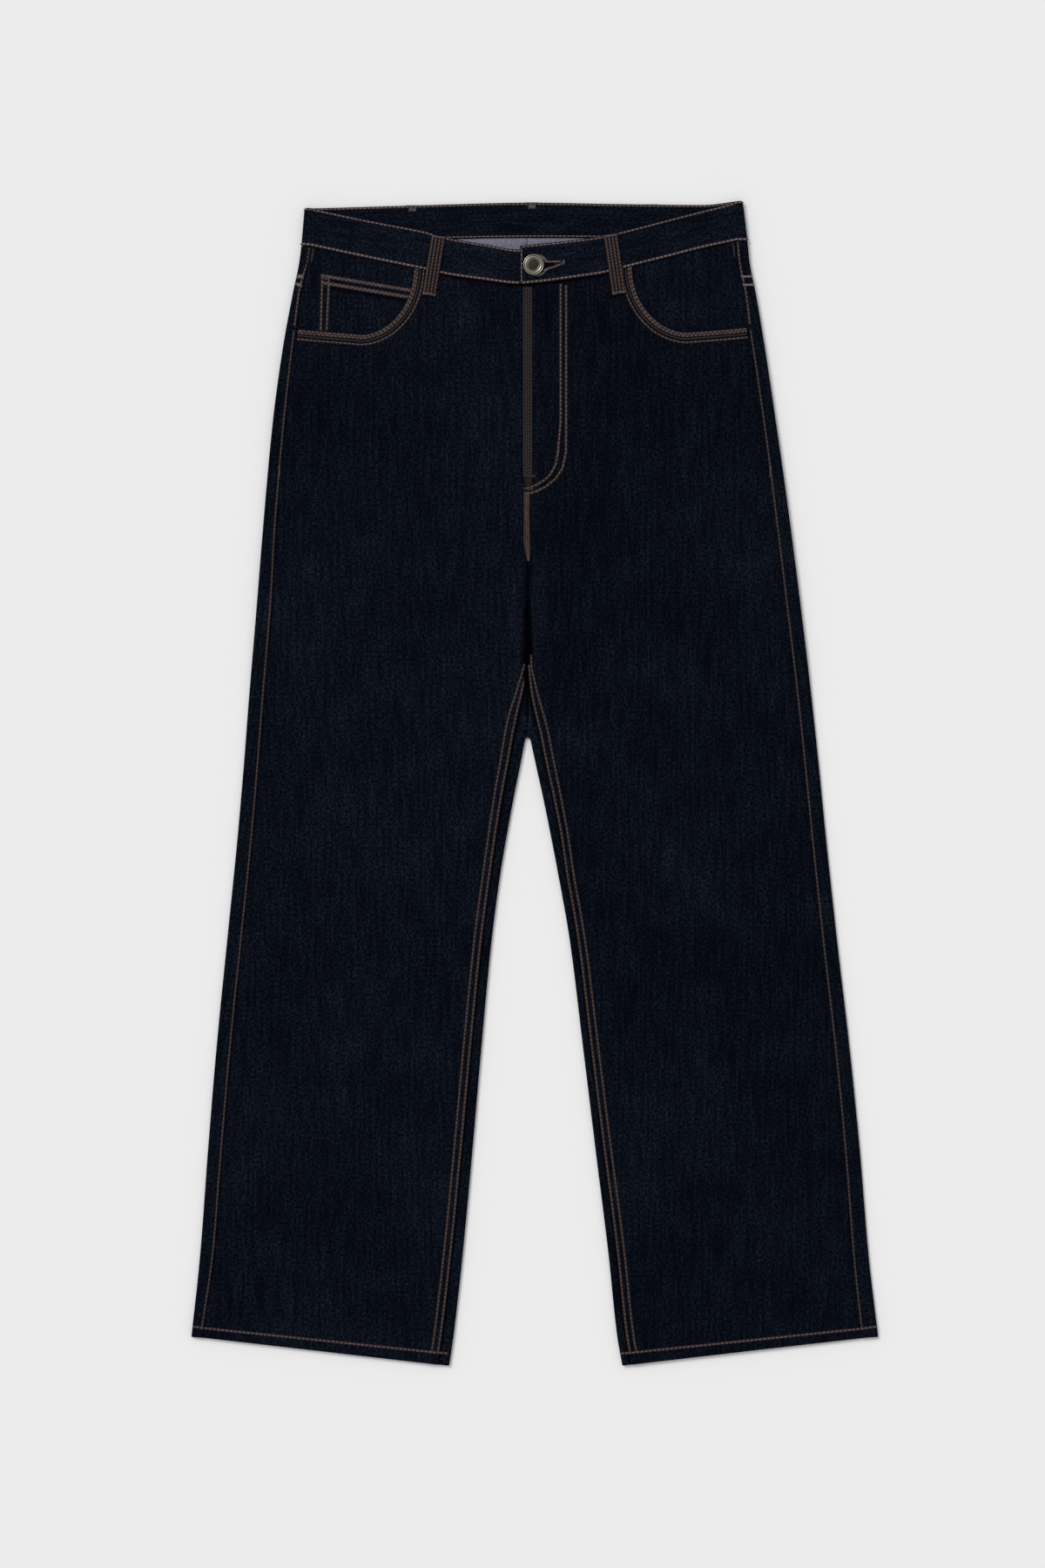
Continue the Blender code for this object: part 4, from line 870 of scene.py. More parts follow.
fronts = {}
for leg in SIDE:
    s = leg_sections(leg)
    outer = s.outer - s.outer_way * s.side_strip[:, None]
    inner = s.seam
    hip_y = np.linspace(SEAT_START_Y, SCOOP[leg].side_y, 102)[1:]
    hip, hip_way = edge(OUTER_EDGE, leg, hip_y, SIDE[leg])
    front_y = read(HIP, "front_y", hip_y, key="outer_y")
    share = np.linspace(0.0, 1.0, SCOOP_ROWS + 1)[1:]
    top_x = centre_edge(leg, np.array(400.0))
    top_y = band_low(leg, top_x) - SEAM_HALF
    side = hip - hip_way * read(SIDE_STRIP, leg, hip_y)[:, None]
    outer = np.concatenate([outer, side, scoop_point(leg, share)])
    inner = np.concatenate([inner, in_plan(centre_edge(leg, front_y), front_y),
                            in_plan(np.full(SCOOP_ROWS, top_x), mix(front_y[-1], top_y, share))])
    length = np.linalg.norm(inner - outer, axis=1)[:, None]
    middle = np.linspace(0.0, 1.0, FRONT_MIDDLE + 2)[1:-1]
    start, end = FRONT_OUT[-1] / length, 1.0 - FRONT_IN[0] / length
    across = np.concatenate([np.array(FRONT_OUT) / length, start + (end - start) * middle,
                             1.0 - np.array(FRONT_IN) / length], axis=1)
    x = outer[:, :1] + (inner[:, :1] - outer[:, :1]) * across
    y = outer[:, 1:] + (inner[:, 1:] - outer[:, 1:]) * across
    from_outer, from_inner = across * length, (1.0 - across) * length
    scoop_share = np.concatenate([np.zeros(len(outer) - SCOOP_ROWS), share])[:, None]
    y = y + (band_low(leg, x) - SEAM_HALF - y[-1:]) * scoop_share ** 2
    lapped = np.arange(len(outer))[:, None] < len(outer) - SCOOP_ROWS
    z = front_height(leg, x, y)
    z = z + PUCKER * ripple(y, 8.0, 3.0 + SIDE[leg]) * (1.0 - smooth(from_outer / 14.0))
    z = z + PUCKER * ripple(y + x, 8.0, 9.0 + SIDE[leg]) * (1.0 - smooth((from_inner - 8.0) / 12.0))
    z = z + 0.25 * ripple(x, 46.0, 5.0) * ripple(y, 61.0, 6.0 + SIDE[leg])
    depth, half = read(GROOVE, "depth", y), read(GROOVE, "half", y)
    sunk = np.exp(-(np.abs(x - CENTRE_X) / half) ** 2)
    above_crotch = smooth((inner[:, 1:] - 96.0) / 20.0)
    z = z + SEAM_RIDGE * (1.0 - smooth((from_inner - 8.2) / 3.4)) * (1.0 - above_crotch)
    z = np.maximum(z - rolled(from_inner) - depth * sunk, seat_lift(y) + 2.2)
    if leg == "r":
        on_seam = above_crotch * (1.0 - smooth((y - 232.0) / 20.0))
        z = z - (DENIM + 0.1) * on_seam * (1.0 - smooth((from_inner - 0.9) / 1.5))
    step = (SEAM_STEP - SEAM_RIDGE) * (1.0 - smooth(from_outer / 5.0))
    z = z - np.where(lapped, step, rolled(from_outer))
    # crease ridges painted paler: a painted highlight on their tops
    worn_and_shaded = 0.5 * sum(fold.rise * ridge(x, y, fold) for fold in FOLDS[leg])
    worn_and_shaded = worn_and_shaded + EDGE_WEAR * (1.0 - smooth(from_inner / 1.8)) * (1.0 - above_crotch)
    worn_and_shaded = worn_and_shaded + np.where(lapped, 0.0, EDGE_WEAR * (1.0 - smooth(from_outer / 1.8)))
    # painted shade in the crotch groove: the paleness fades and the cloth darkens with the groove's
    # depth
    worn_and_shaded = worn_and_shaded * (1.0 - sunk * np.clip(depth, 0.0, 1.0))
    worn_and_shaded = worn_and_shaded - 2.2 * sunk * np.clip(depth / 2.4, 0.0, 1.0)
    # painted shadow along the lower edge of the waistband
    band_shadow = smooth((y - 420.0) / 20.0) * (1.0 - smooth((band_low(leg, x) - y - 0.6) / 2.0))
    worn_and_shaded = worn_and_shaded + DEEPEST * band_shadow - FRONT_DARKER[leg]
    bm = bmesh.new()
    sheet(bm, x, y, z, worn_and_shaded)
    # the side edge runs on beneath the back panel
    count = len(outer) - SCOOP_ROWS
    away = np.linspace(0.0, 1.0, 4)[None, :] * SEAM_TUCK
    unit = (outer - inner)[:count] / length[:count]
    sheet(bm, x[:count, :1] + unit[:, :1] * away, y[:count, :1] + unit[:, 1:] * away,
          np.repeat(z[:count, :1], 4, axis=1) - 0.02 * away)
    for face in bm.faces:
        face.normal_update()
    downward = [face for face in bm.faces if face.normal.z < 0.0]
    bmesh.ops.reverse_faces(bm, faces=downward)
    cloth("front_leg_" + leg, bm, "front_panel_" + leg,
          hem=leg)
    fronts[leg] = (x, y, z)

# ---- topstitching -------------------------------------------------------------------------
# Copper brown core-spun polyester thread in stitches 4 mm long that sink into the cloth at each
# needle hole, drawn up to 1.5 mm wide with its fuzz. Bartacks are thread laid close to and fro.

STITCH = 4.0
RINGS = 8               # along a stitch
AROUND = 6
THREAD = 0.74           # radius of the thickest rows, with their fuzz
SINK = 0.62             # share of its radius that a thread sinks at each needle hole


def thread_material(name, deep, pale):
    """Spun thread: a soft shine, steep twist lines, and painted shade, darker and redder, where it
    sinks in.
    """
    material, tree, shader = new_material(name)
    along = add_node(tree, "UVMap", {"uv_map": "weave"}).outputs["UV"]
    scale = (1.0 / (2.8 * MM), 1.0 / (1.3 * MM), 1.0)
    turned = add_node(tree, "Mapping", None, {"Vector": along, "Scale": scale}).outputs["Vector"]
    twist = add_node(tree, "TexWave", {"wave_type": "BANDS", "bands_direction": "DIAGONAL"},
                     {"Vector": turned, "Scale": 0.6, "Distortion": 0.8}).outputs["Fac"]
    place = add_node(tree, "TexCoord").outputs["Object"]
    uneven = add_node(tree, "TexNoise", None, {"Vector": place, "Scale": 210.0}).outputs["Fac"]
    raised = add_node(tree, "Attribute", {"attribute_name": "raised"}).outputs["Fac"]
    # painted highlight and shade: pale where a stitch stands out of the cloth, deep where it sinks
    # into the needle hole
    shade = combine(tree, "MULTIPLY_ADD", twist, 0.35, -0.4)
    shade = combine(tree, "ADD", combine(tree, "ADD", shade, uneven), raised)
    shade = combine(tree, "SUBTRACT", shade, 0.4)
    colour = blend(tree, shade, linear(deep), linear(pale))
    bump = add_node(tree, "Bump", None, {"Height": twist, "Strength": 0.5, "Distance": 0.12 * MM})
    tree.links.new(colour, shader.inputs["Base Color"])
    tree.links.new(bump.outputs["Normal"], shader.inputs["Normal"])
    shader.inputs["Roughness"].default_value = 0.6
    shader.inputs["Specular IOR Level"].default_value = 0.2
    shader.inputs["Sheen Weight"].default_value = 0.05
    return material


copper_thread = thread_material("copper topstitch thread", "#24100b", "#605352")
pale_thread = thread_material("pale copper edge thread", "#2a1611", "#7b706f")
dull_thread = thread_material("dull copper seam thread", "#220f0a", "#504543")
brown_thread = thread_material("brown loop thread", "#21100b", "#4f423e")
# a darker copy of the topstitch thread, its colour painted shade
shaded_thread = thread_material("thread painted in shade", "#1a0d0b", "#332b2b")


def resampled(path, step):
    """Points at even steps along a path."""
    path = np.asarray(path, float)
    run = np.append(0.0, np.cumsum(np.linalg.norm(np.diff(path, axis=0), axis=1)))
    at = np.linspace(0.0, run[-1], max(int(round(run[-1] / step)), 1) + 1)
    return np.stack([np.interp(at, run, path[:, k]) for k in range(path.shape[1])], axis=-1)


def laid(path, names, step, below=False):
    """Path in plan put on the outermost of the named cloths, seen from above or from below."""
    down = 1.0 if below else -1.0
    points = []
    for x, y in resampled(path, step):
        heights = []
        for name in names:
            hit = surfaces[name].ray_cast((x * MM, y * MM, -0.03 * down), (0.0, 0.0, down))[0]
            if hit:
                heights.append(hit.z / MM)
        if heights:
            points.append((x, y, min(heights) if below else max(heights)))
    points = np.array(points)
    return points, np.tile([0.0, 0.0, -down], (len(points), 1))


def tube(bm, points, normals, radius, raised=None, girth=None, flat=1.0):
    """Thread along a line of points, with how far each of them stands out of the cloth."""
    ahead = np.gradient(points, axis=0)
    ahead /= np.linalg.norm(ahead, axis=1)[:, None] + 1e-9
    side = np.cross(ahead, normals)
    side /= np.linalg.norm(side, axis=1)[:, None] + 1e-9
    upward = np.cross(side, ahead)
    run = np.append(0.0, np.cumsum(np.linalg.norm(np.diff(points, axis=0), axis=1)))
    weave = bm.loops.layers.uv.get("weave") or bm.loops.layers.uv.new("weave")
    shown = bm.verts.layers.float.get("raised") or bm.verts.layers.float.new("raised")
    raised = np.full(len(points), 0.6) if raised is None else raised
    girth = np.ones(len(points)) if girth is None else girth
    made = bmesh.ops.create_grid(bm, x_segments=AROUND, y_segments=len(points) - 1, size=0.5)
    for vert in made["verts"]:
        k = round((vert.co.y + 0.5) * (len(points) - 1))
        turn = 2.0 * math.pi * (vert.co.x + 0.5)
        vert[shown] = raised[k]
        for loop in vert.link_loops:
            loop[weave].uv = (turn * radius * MM, run[k] * MM)
        offset = side[k] * math.cos(turn) + upward[k] * math.sin(turn) * flat
        vert.co = Vector(points[k] + offset * radius * girth[k]) * MM


def sew(bm, points, normals, radius=THREAD, proud=0.75, sink=SINK, start=0):
    """Row of stitches along points that stand RINGS to a stitch."""
    phase = ((np.arange(len(points)) + start) % RINGS) / RINGS
    out = np.sin(math.pi * phase)
    lift = radius * ((proud + sink) * out - sink)
    tube(bm, points + normals * lift[:, None], normals, radius, out * out, 0.8 + 0.2 * out)
    if sink == SINK:    # a wide flat tube beside the row, the fibres pressed into the cloth, in a deep colour that paints shade along the stitches
        shade_bed = points[::RINGS // 2]
        tube(bm, shade_bed, normals[::RINGS // 2], radius * 1.8, np.full(len(shade_bed), -0.3), flat=0.26)


def row(bm, path, names, below=False, radius=THREAD, pitch=STITCH, start=0):
    """Row of stitches along a path in plan. Beneath the jeans it is pressed into the cloth."""
    points, normals = laid(path, names, pitch / RINGS, below)
    if len(points) > RINGS and below:
        sew(bm, points, normals, 0.26, -0.2, 1.6)
    elif len(points) > RINGS:
        sew(bm, points, normals, radius, start=start)


def bartack(bm, start, end, width, names, below=False, pitch=0.6, radius=0.32, tone=0.6):
    """Dense bar of thread to and fro between two lines, from start to end in plan."""
    start, end = np.array(start), np.array(end)
    way = (end - start) / np.linalg.norm(end - start)
    across = np.array([way[1], -way[0]]) * width / 2
    count = max(int(np.linalg.norm(end - start) / pitch), 2)
    path = [start + (end - start) * k / count + across * (1.0 if k % 2 else -1.0)
            for k in range(count + 1)]
    points, normals = laid(path, names, width / 2.0, below)
    points = points + normals * radius * 0.8
    tube(bm, points, normals, radius, np.full(len(points), tone))


def sewing(name, bm, material=None):
    """Finished piece of thread."""
    bmesh.ops.remove_doubles(bm, verts=bm.verts, dist=0.002 * MM)
    bmesh.ops.recalc_face_normals(bm, faces=bm.faces)
    piece = finished(name, bm, (material or copper_thread,))
    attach(piece, "root")


# Inseam rows: their column in INSEAM_ROWS, where they end on each leg, and their radius.
InseamRow = namedtuple("InseamRow", "column r l radius")
INSEAM_ENDS = (
    InseamRow("near", 96.0, 114.0, 0.74),
    InseamRow("far", 113.0, 122.0, 0.7),
)
ROW_IN = 1.8                            # from the side seam's folded edge to its row
HIP_DRIFT = {"r": 2.6, "l": 0.6}        # the row above the pocket drifts from the edge
SHORT_ROW_Y = {"r": 488.0, "l": 494.0}  # and a second one starts here, below the band
TACK_Y, TACK_LOW_Y, TACK_HIGH_Y = 292.8, 287.8, 297.7
SCOOP_SEWING = ((1.2, 0.72, 0), (3.1, 0.72, 4), (9.0, 0.6, 2))      # inset, radius, start
SEWN_HEM = 9.8                          # from the hem up to its row of stitches
on_front = {leg: ("front_leg_" + leg, "back_leg_" + leg) for leg in SIDE}

bm, bm_dull, bm_shaded = bmesh.new(), bmesh.new(), bmesh.new()
for leg in SIDE:
    x, y, z = fronts[leg]
    outer, inner = in_plan(x[:, 0], y[:, 0]), in_plan(x[:, -1], y[:, -1])
    way = (outer - inner) / np.linalg.norm(outer - inner, axis=1)[:, None]
    scoop_start = len(outer) - SCOOP_ROWS

    # inseam, two rows on the front
    for ends in INSEAM_ENDS:
        end = int(np.searchsorted(inner[:, 1], getattr(ends, leg)))
        seam, upward = inner[HEM_ROW:end], way[HEM_ROW:end]
        away = read(INSEAM_ROWS, ends.column, seam[:, 1])[:, None]
        row(bm_dull, seam + upward * away, on_front[leg], radius=ends.radius, start=3)

    # side seam, one row on the back panel's folded edge
    side = (outer + way * ROW_IN)[HEM_ROW:scoop_start]
    row(bm_dull, side, on_front[leg], radius=0.52)
    top = np.linspace(SCOOP[leg].side_y + 3.0, BAND_CORNER[leg].low - 1.5, 30)
    drift = HIP_DRIFT[leg] * smooth((top - 458.0) / 44.0)
    seam_x = read(OUTER_EDGE, leg, top) - SIDE[leg] * (read(SIDE_STRIP, leg, top) - ROW_IN + drift)
    names = on_front[leg] + ("yoke_" + leg, "facing_" + leg)
    row(bm, in_plan(seam_x, top), names, radius=0.6)
    short = top > SHORT_ROW_Y[leg]
    row(bm_shaded, in_plan(seam_x - SIDE[leg] * 4.2, top)[short], names, radius=0.6)

    # hem, one row round the leg
    low = in_plan(x[HEM_ROW], y[HEM_ROW])
    row(bm, low, on_front[leg])
    fold_x = read(OUTER_EDGE, leg, HEM_OUTER_Y + SEWN_HEM) - SIDE[leg] * 1.2
    row(bm, [low[-1], inner[HEM_ROW] - (SIDE[leg] * 9.0, 0.6)], on_front[leg])
    row(bm, [low[0], (fold_x, HEM_OUTER_Y + SEWN_HEM)], on_front[leg])
    row(bm, low, on_front[leg], below=True)

    # bartack across the side seam below the pocket
    tack_x = side_seam_x(leg, TACK_Y, 1.4)
    bartack(bm, (tack_x, TACK_LOW_Y), (tack_x, TACK_HIGH_Y), 2.6, on_front[leg])

    # scoop: two rows close to its edge and one further in
    edge_line = outer[scoop_start:]
    run = np.gradient(edge_line, axis=0)
    run /= np.linalg.norm(run, axis=1)[:, None]
    inward = in_plan(run[:, 1], -run[:, 0])
    inward *= np.sign(np.sum(inward * (inner[scoop_start:] - edge_line), axis=1))[:, None]
    for inset, radius, start in SCOOP_SEWING:
        row(bm, edge_line + inward * inset, ("front_leg_" + leg,), radius=radius, start=start)
    row(bm_shaded, edge_line + inward * 5.8, ("front_leg_" + leg,), radius=0.45, pitch=3.0)
sewing("leg_stitches", bm)
sewing("seam_stitches", bm_dull, dull_thread)
sewing("scoop_guide_stitches", bm_shaded, shaded_thread)

bm, bm_pale = bmesh.new(), bmesh.new()
for leg in SIDE:
    names = ("yoke_" + leg,)
    # yoke, two rows above its lower edge all the way round
    for inset in (1.6, 9.4):
        y0 = YOKE_SIDE_Y + inset
        outer_x = read(OUTER_EDGE, leg, y0) - SIDE[leg] * 1.6
        seam = outer_x - SIDE[leg] * (read(SIDE_STRIP, leg, y0) - 2.2)
        bartack(bm_pale, (seam, y0 - 0.5), (outer_x + SIDE[leg] * 0.6, y0),
                4.2 if leg == "r" else 3.0, names, pitch=0.55, tone=1.0)
        row(bm, [(outer_x, y0), (CENTRE_X + SIDE[leg] * 1.0, YOKE_CENTRE_Y + inset)], names,
            below=True)
    # centre back seam, two rows on its left side
    for inset in (1.8, 7.8) if leg == "l" else ():
        row(bm, [(CENTRE_X + inset, 46.0), (CENTRE_X + inset, 506.0)], ("back_leg_l", "yoke_l"),
            below=True)
    # patch pocket
    for inset in (2.0, 8.0):
        row(bm, pocket_outline(leg, inset), ("seat_pocket_" + leg,), below=True)
    top = pocket_outline(leg, 12.0)
    row(bm, [top[0], top[-1]], ("seat_pocket_" + leg,), below=True)
sewing("seat_stitches", bm)
sewing("yoke_bartacks", bm_pale, pale_thread)

bm = bmesh.new()
line_x = np.array([COIN_LEFT_X + 1.2, COIN_RIGHT_X])
for inset in COIN_ROWS:
    for k in range(2):
        line_y = COIN_LEFT_TOP_Y - (line_x - COIN_LEFT_X) * COIN_TOP_FALL - inset - 1.15 * k
        row(bm, in_plan(line_x, line_y), ("small_pocket",), start=4 * k)
for near, far in COIN_SIDE_ROWS:
    row(bm, [(COIN_LEFT_X + near, COIN_LEFT_TOP_Y - 1.4), (COIN_LEFT_X + far, COIN_SIDE_END_Y)],
        ("small_pocket", "facing_r"))
for drop in (1.6, 4.2, 8.4):
    bartack(bm, (COIN_LEFT_X + 0.8, COIN_LEFT_TOP_Y - drop),
            (COIN_LEFT_X + 8.6, COIN_LEFT_TOP_Y - drop - 1.2), 2.0, ("small_pocket",))
sewing("coin_pocket_stitches", bm)

# Fly: a guide row beside the folded edge, two rows down to a hook at its foot, and bartacks.
FLY_FACE = ("front_leg_l", "front_leg_r")
FLY_OUTER = ((29.6, 468.0), (29.6, 330.0), (29.4, 311.0), (26.2, 296.0), (19.7, 286.2),
             (9.8, 278.2), (1.6, 274.2), (-4.9, 272.4), (-9.6, 272.0))
FLY_INNER = ((24.4, 469.5), (24.4, 340.0), (22.0, 311.0), (19.7, 299.3), (14.8, 290.3),
             (9.8, 285.2), (1.6, 280.0), (-8.6, 276.6))
FLY_TACKS = (           # start, end, width
    ((22.2, 309.0), (22.2, 320.0), 2.4),
    ((-10.6, 289.0), (0.2, 288.4), 1.6),
    ((-10.6, 277.0), (-1.0, 276.6), 1.4),
    ((-10.2, 272.6), (-2.0, 272.4), 1.4),
)
FLY_FOOT = ((-9.1, 1.6, 272.0), (-9.0, 1.4, 250.0), (-9.4, 1.9, 228.0), (-8.0, 1.3, 217.0),
            (-6.2, 0.3, 209.0))         # x of the first row, step to the next row, y
FLY_FOOT_RADII = (0.7, 0.9, 0.8)
FLY_EDGE_ROWS = ((-9.9, 0.6, STITCH), (-7.7, 0.8, 3.0), (-5.5, 0.8, 3.4), (-3.4, 0.66, 2.6))
bm = bmesh.new()
row(bm, FLY_OUTER, FLY_FACE)
row(bm, FLY_INNER, FLY_FACE)
for start, end, width in FLY_TACKS:
    bartack(bm, start, end, width, FLY_FACE)
sewing("fly_stitches", bm)
bm, bm_shaded = bmesh.new(), bmesh.new()
for k, radius in enumerate(FLY_FOOT_RADII):
    row(bm, [(x0 + step * k, y0) for x0, step, y0 in FLY_FOOT], FLY_FACE, radius=radius,
        pitch=2.6, start=3 * k)
sewing("fly_foot_stitches", bm, brown_thread)
for x0, radius, pitch in FLY_EDGE_ROWS:
    row(bm_shaded, [(x0, 466.0), (x0, 290.0)], FLY_FACE, radius=radius, pitch=pitch)
bartack(bm_shaded, (-5.4, 274.0), (-5.4, 287.4), 9.4, FLY_FACE, pitch=0.5, tone=0.05)
sewing("fly_edge_stitches", bm_shaded, shaded_thread)

# ---- waistband ----------------------------------------------------------------------------
# One straight strip folded in half along its upper edge, both raw edges turned in over the
# top of the panels. Its left end, with the buttonhole, laps over the right one.

BAND_WALL = 2.1
BAND_FOLD = 5.2         # outer height where it turns back at a side
BUTTON_X, BUTTON_Y = -1.2, 486.8
BAND_RISES = (0.03, 0.045, 0.08, 0.16, 0.3, 0.5, 0.7, 0.84, 0.92, 0.955, 0.97)
ROUND_STEPS = 5
STATION_STEP = 1.6
BAND_WEAR = 0.35        # the band is paler than the fronts

Station = namedtuple("Station", "x top low z turn side")


def band_stations():
    """Stations along the band, each with its upper and lower edge and its face's height."""
    def stretch(table, leg, reverse=False):
        count = round((table[-1].x - table[0].x) / STATION_STEP)
        at = np.linspace(table[0].x, table[-1].x, count)
        found = [read(table, key, at, key="x") for key in ("top", "low", "z")]
        rows = [Station(*values, None, leg) for values in zip(at, *found)]
        return rows[::-1] if reverse else rows

    def fold(leg, start, end):
        corner = BAND_BACK[-1] if leg == "l" else BAND_BACK[0]
        turns = np.radians(np.linspace(start, end, 12))
        return [Station(0.0, corner.top, corner.low, 0.0, turn, leg) for turn in turns]

    return (stretch(BAND_FRONT_L, "front") + fold("l", 172.0, 8.0)
            + stretch(BAND_BACK, "back", reverse=True) + fold("r", 8.0, 172.0)
            + stretch(BAND_FRONT_R, "front"))


def band_point(station, rise, depth):
    """Point of the band at a share of its width and a depth in from its outer face."""
    x, top, low, z, turn, side = station
    y = mix(low, top, rise)
    if turn is None:
        return (x, y, z - depth if side == "front" else z + depth)
    radius = BAND_FOLD / 2
    edge_x = float(read(OUTER_EDGE, side, np.array(y)))
    x = edge_x - SIDE[side] * (radius - (radius - depth) * math.sin(turn))
    return (x, y, SEAT_LIFT + radius - (radius - depth) * math.cos(turn))


def bulging(rise, depth, bulge):
    """Depth of a point of the band: its outer face bulges unevenly between its rows."""
    return depth - (0.12 + bulge) if depth == 0.0 and 0.1 < rise < 0.9 else depth


stations = band_stations()
profile = [(rise, 0.0) for rise in BAND_RISES]
for k in range(1, ROUND_STEPS):
    angle = math.pi * k / ROUND_STEPS
    profile.append((0.97 + 0.03 * math.sin(angle), BAND_WALL / 2 * (1.0 - math.cos(angle))))
profile += [(rise, BAND_WALL) for rise in BAND_RISES[::-1]]
for k in range(1, ROUND_STEPS):
    angle = math.pi * k / ROUND_STEPS
    profile.append((0.03 - 0.03 * math.sin(angle), BAND_WALL / 2 * (1.0 + math.cos(angle))))
profile.append(profile[0])
bulges = 0.18 * ripple(np.arange(len(stations)) * STATION_STEP, 9.0, 12.0)
points = np.array([[band_point(station, rise, bulging(rise, depth, bulge))
                    for rise, depth in profile] for station, bulge in zip(stations, bulges)])
worn_and_shaded = np.tile([0.6 if 0.0 < depth < BAND_WALL and rise > 0.5 else 0.3 * (depth == 0.0)
                for rise, depth in profile], (len(stations), 1))
bm = bmesh.new()
sheet(bm, points[..., 0], points[..., 1], points[..., 2], worn_and_shaded + BAND_WEAR, lengthwise=True)
bmesh.ops.remove_doubles(bm, verts=bm.verts, dist=0.004 * MM)
bmesh.ops.holes_fill(bm, edges=[e for e in bm.edges if e.is_boundary], sides=0)
bmesh.ops.recalc_face_normals(bm, faces=bm.faces)
surfaces["band"] = BVHTree.FromBMesh(bm)
band = finished("band", bm, (indigo_face,))
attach(band, "root")
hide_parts("waistband")

# keyhole buttonhole: an eye for the shank and a slit beside it, through the lap only
EYE_X, EYE_Y, EYE_RADIUS = 3.4, -0.4, 8.0
HOLE = [(EYE_X + EYE_RADIUS * math.cos(math.radians(a)),
         EYE_Y + EYE_RADIUS * math.sin(math.radians(a))) for a in range(20, 336, 15)]
HOLE += [(12.6, -2.9), (19.0, -1.0), (25.6, 1.5), (25.6, 2.1), (19.0, 1.9), (12.6, 1.9)]
bm = bmesh.new()
rim = [bm.verts.new(Vector((BUTTON_X + hx, BUTTON_Y + hy, 6.3)) * MM) for hx, hy in HOLE]
base = bm.faces.new(rim)
made = bmesh.ops.extrude_face_region(bm, geom=[base])
bmesh.ops.translate(bm, verts=[g for g in made["geom"] if isinstance(g, bmesh.types.BMVert)],
                    vec=(0.0, 0.0, 3.2 * MM))
bmesh.ops.recalc_face_normals(bm, faces=bm.faces)
hole = finished("buttonhole_cut", bm, soft=False)
hole.hide_render = True
hole.display_type = "WIRE"
cut = band.modifiers.new("buttonhole", "BOOLEAN")
cut.operation = "DIFFERENCE"
cut.solver = "EXACT"
cut.object = hole

bm = bmesh.new()
hole_line = resampled([(BUTTON_X + hx, BUTTON_Y + hy) for hx, hy in HOLE + HOLE[:1]], 0.5)
for k in range(len(hole_line) - 1):
    ahead = hole_line[k + 1] - hole_line[k]
    out = np.array([-ahead[1], ahead[0]]) / np.linalg.norm(ahead)
    reach = 2.4 if hole_line[k][0] < BUTTON_X + 12.0 else 1.7
    a, b = hole_line[k] - out * 0.2, hole_line[k] - out * reach
    points = np.array([(a[0], a[1], 8.1), (a[0], a[1], 8.7), (*(mix(a, b, 0.3)), 9.1),
                       (*(mix(a, b, 0.75)), 9.0), (b[0], b[1], 8.5)])
    tube(bm, points, np.tile([0.0, 0.0, 1.0], (5, 1)) + np.append(-out, 0.0) * 0.5, 0.26)
bartack(bm, (BUTTON_X + 28.0, BUTTON_Y + 0.4), (BUTTON_X + 28.6, BUTTON_Y + 4.4), 2.6, ("band",))
sewing("buttonhole_thread", bm, pale_thread)


def band_row(bm, inset, first, last, radius=THREAD, inner=False):
    """Row along the band at a distance in from its upper (positive) or lower edge."""
    line, outward = [], []
    for station in stations[first:last]:
        span = station.top - station.low
        rise = 1.0 - inset / span if inset > 0.0 else -inset / span
        line.append(band_point(station, rise, BAND_WALL if inner else 0.0))
        far = band_point(station, rise, 1.0)
        near = band_point(station, rise, 0.0)
        outward.append(np.array(near) - np.array(far))
    line, outward = np.array(line), np.array(outward) * (-1.0 if inner else 1.0)
    both = resampled(np.concatenate([line, outward], axis=1), STITCH / RINGS)
    sew(bm, both[:, :3], both[:, 3:], radius)


BAND_TOP_ROW, BAND_LOW_ROW = 1.6, -1.5
BAND_END_ROW = ((-12.4, 470.0), (-12.4, 503.4))
bm = bmesh.new()
band_row(bm, BAND_TOP_ROW, 1, len(stations) - 1, 0.55)
back = [i for i, station in enumerate(stations) if station.side == "back"]
band_row(bm, BAND_TOP_ROW, back[0], back[-1], 0.5, inner=True)
row(bm, BAND_END_ROW, ("band",), radius=0.5)
sewing("band_edge_stitches", bm, pale_thread)
bm = bmesh.new()
band_row(bm, BAND_LOW_ROW, 1, len(stations) - 1, 0.78)
band_row(bm, BAND_LOW_ROW, back[0], back[-1], 0.46, inner=True)
sewing("band_stitches", bm, pale_thread)

# ---- belt loops ---------------------------------------------------------------------------
# Strips of denim folded in three, 13 mm wide and sewn lengthwise, each end turned under and
# held by a bartack. Two in front bow a little off the band; three at the back are lain on.

LOOP_WIDTH, LOOP_WALL, LOOP_LENGTH = 13.0, 1.2, 58.0
Loop = namedtuple("Loop", "top_x top_y low_x low_y")
FRONT_LOOPS = {
    "r": Loop(-90.2, 515.0, -99.6, 457.2),
    "l": Loop(70.9, 516.4, 79.5, 458.6),
}
BACK_LOOPS = {"r": -114.8, "centre": -2.5, "l": 110.0}
LOOP_ACROSS = (-1.0, -0.97, -0.9, -0.75, -0.4, 0.0, 0.4, 0.75, 0.9, 0.97, 1.0)
LOOP_THREADS = (-4.9, -1.64, 1.64, 4.9)


def loop_piece(name, bm, node):
    return cloth(name, bm, node, wall=LOOP_WALL)


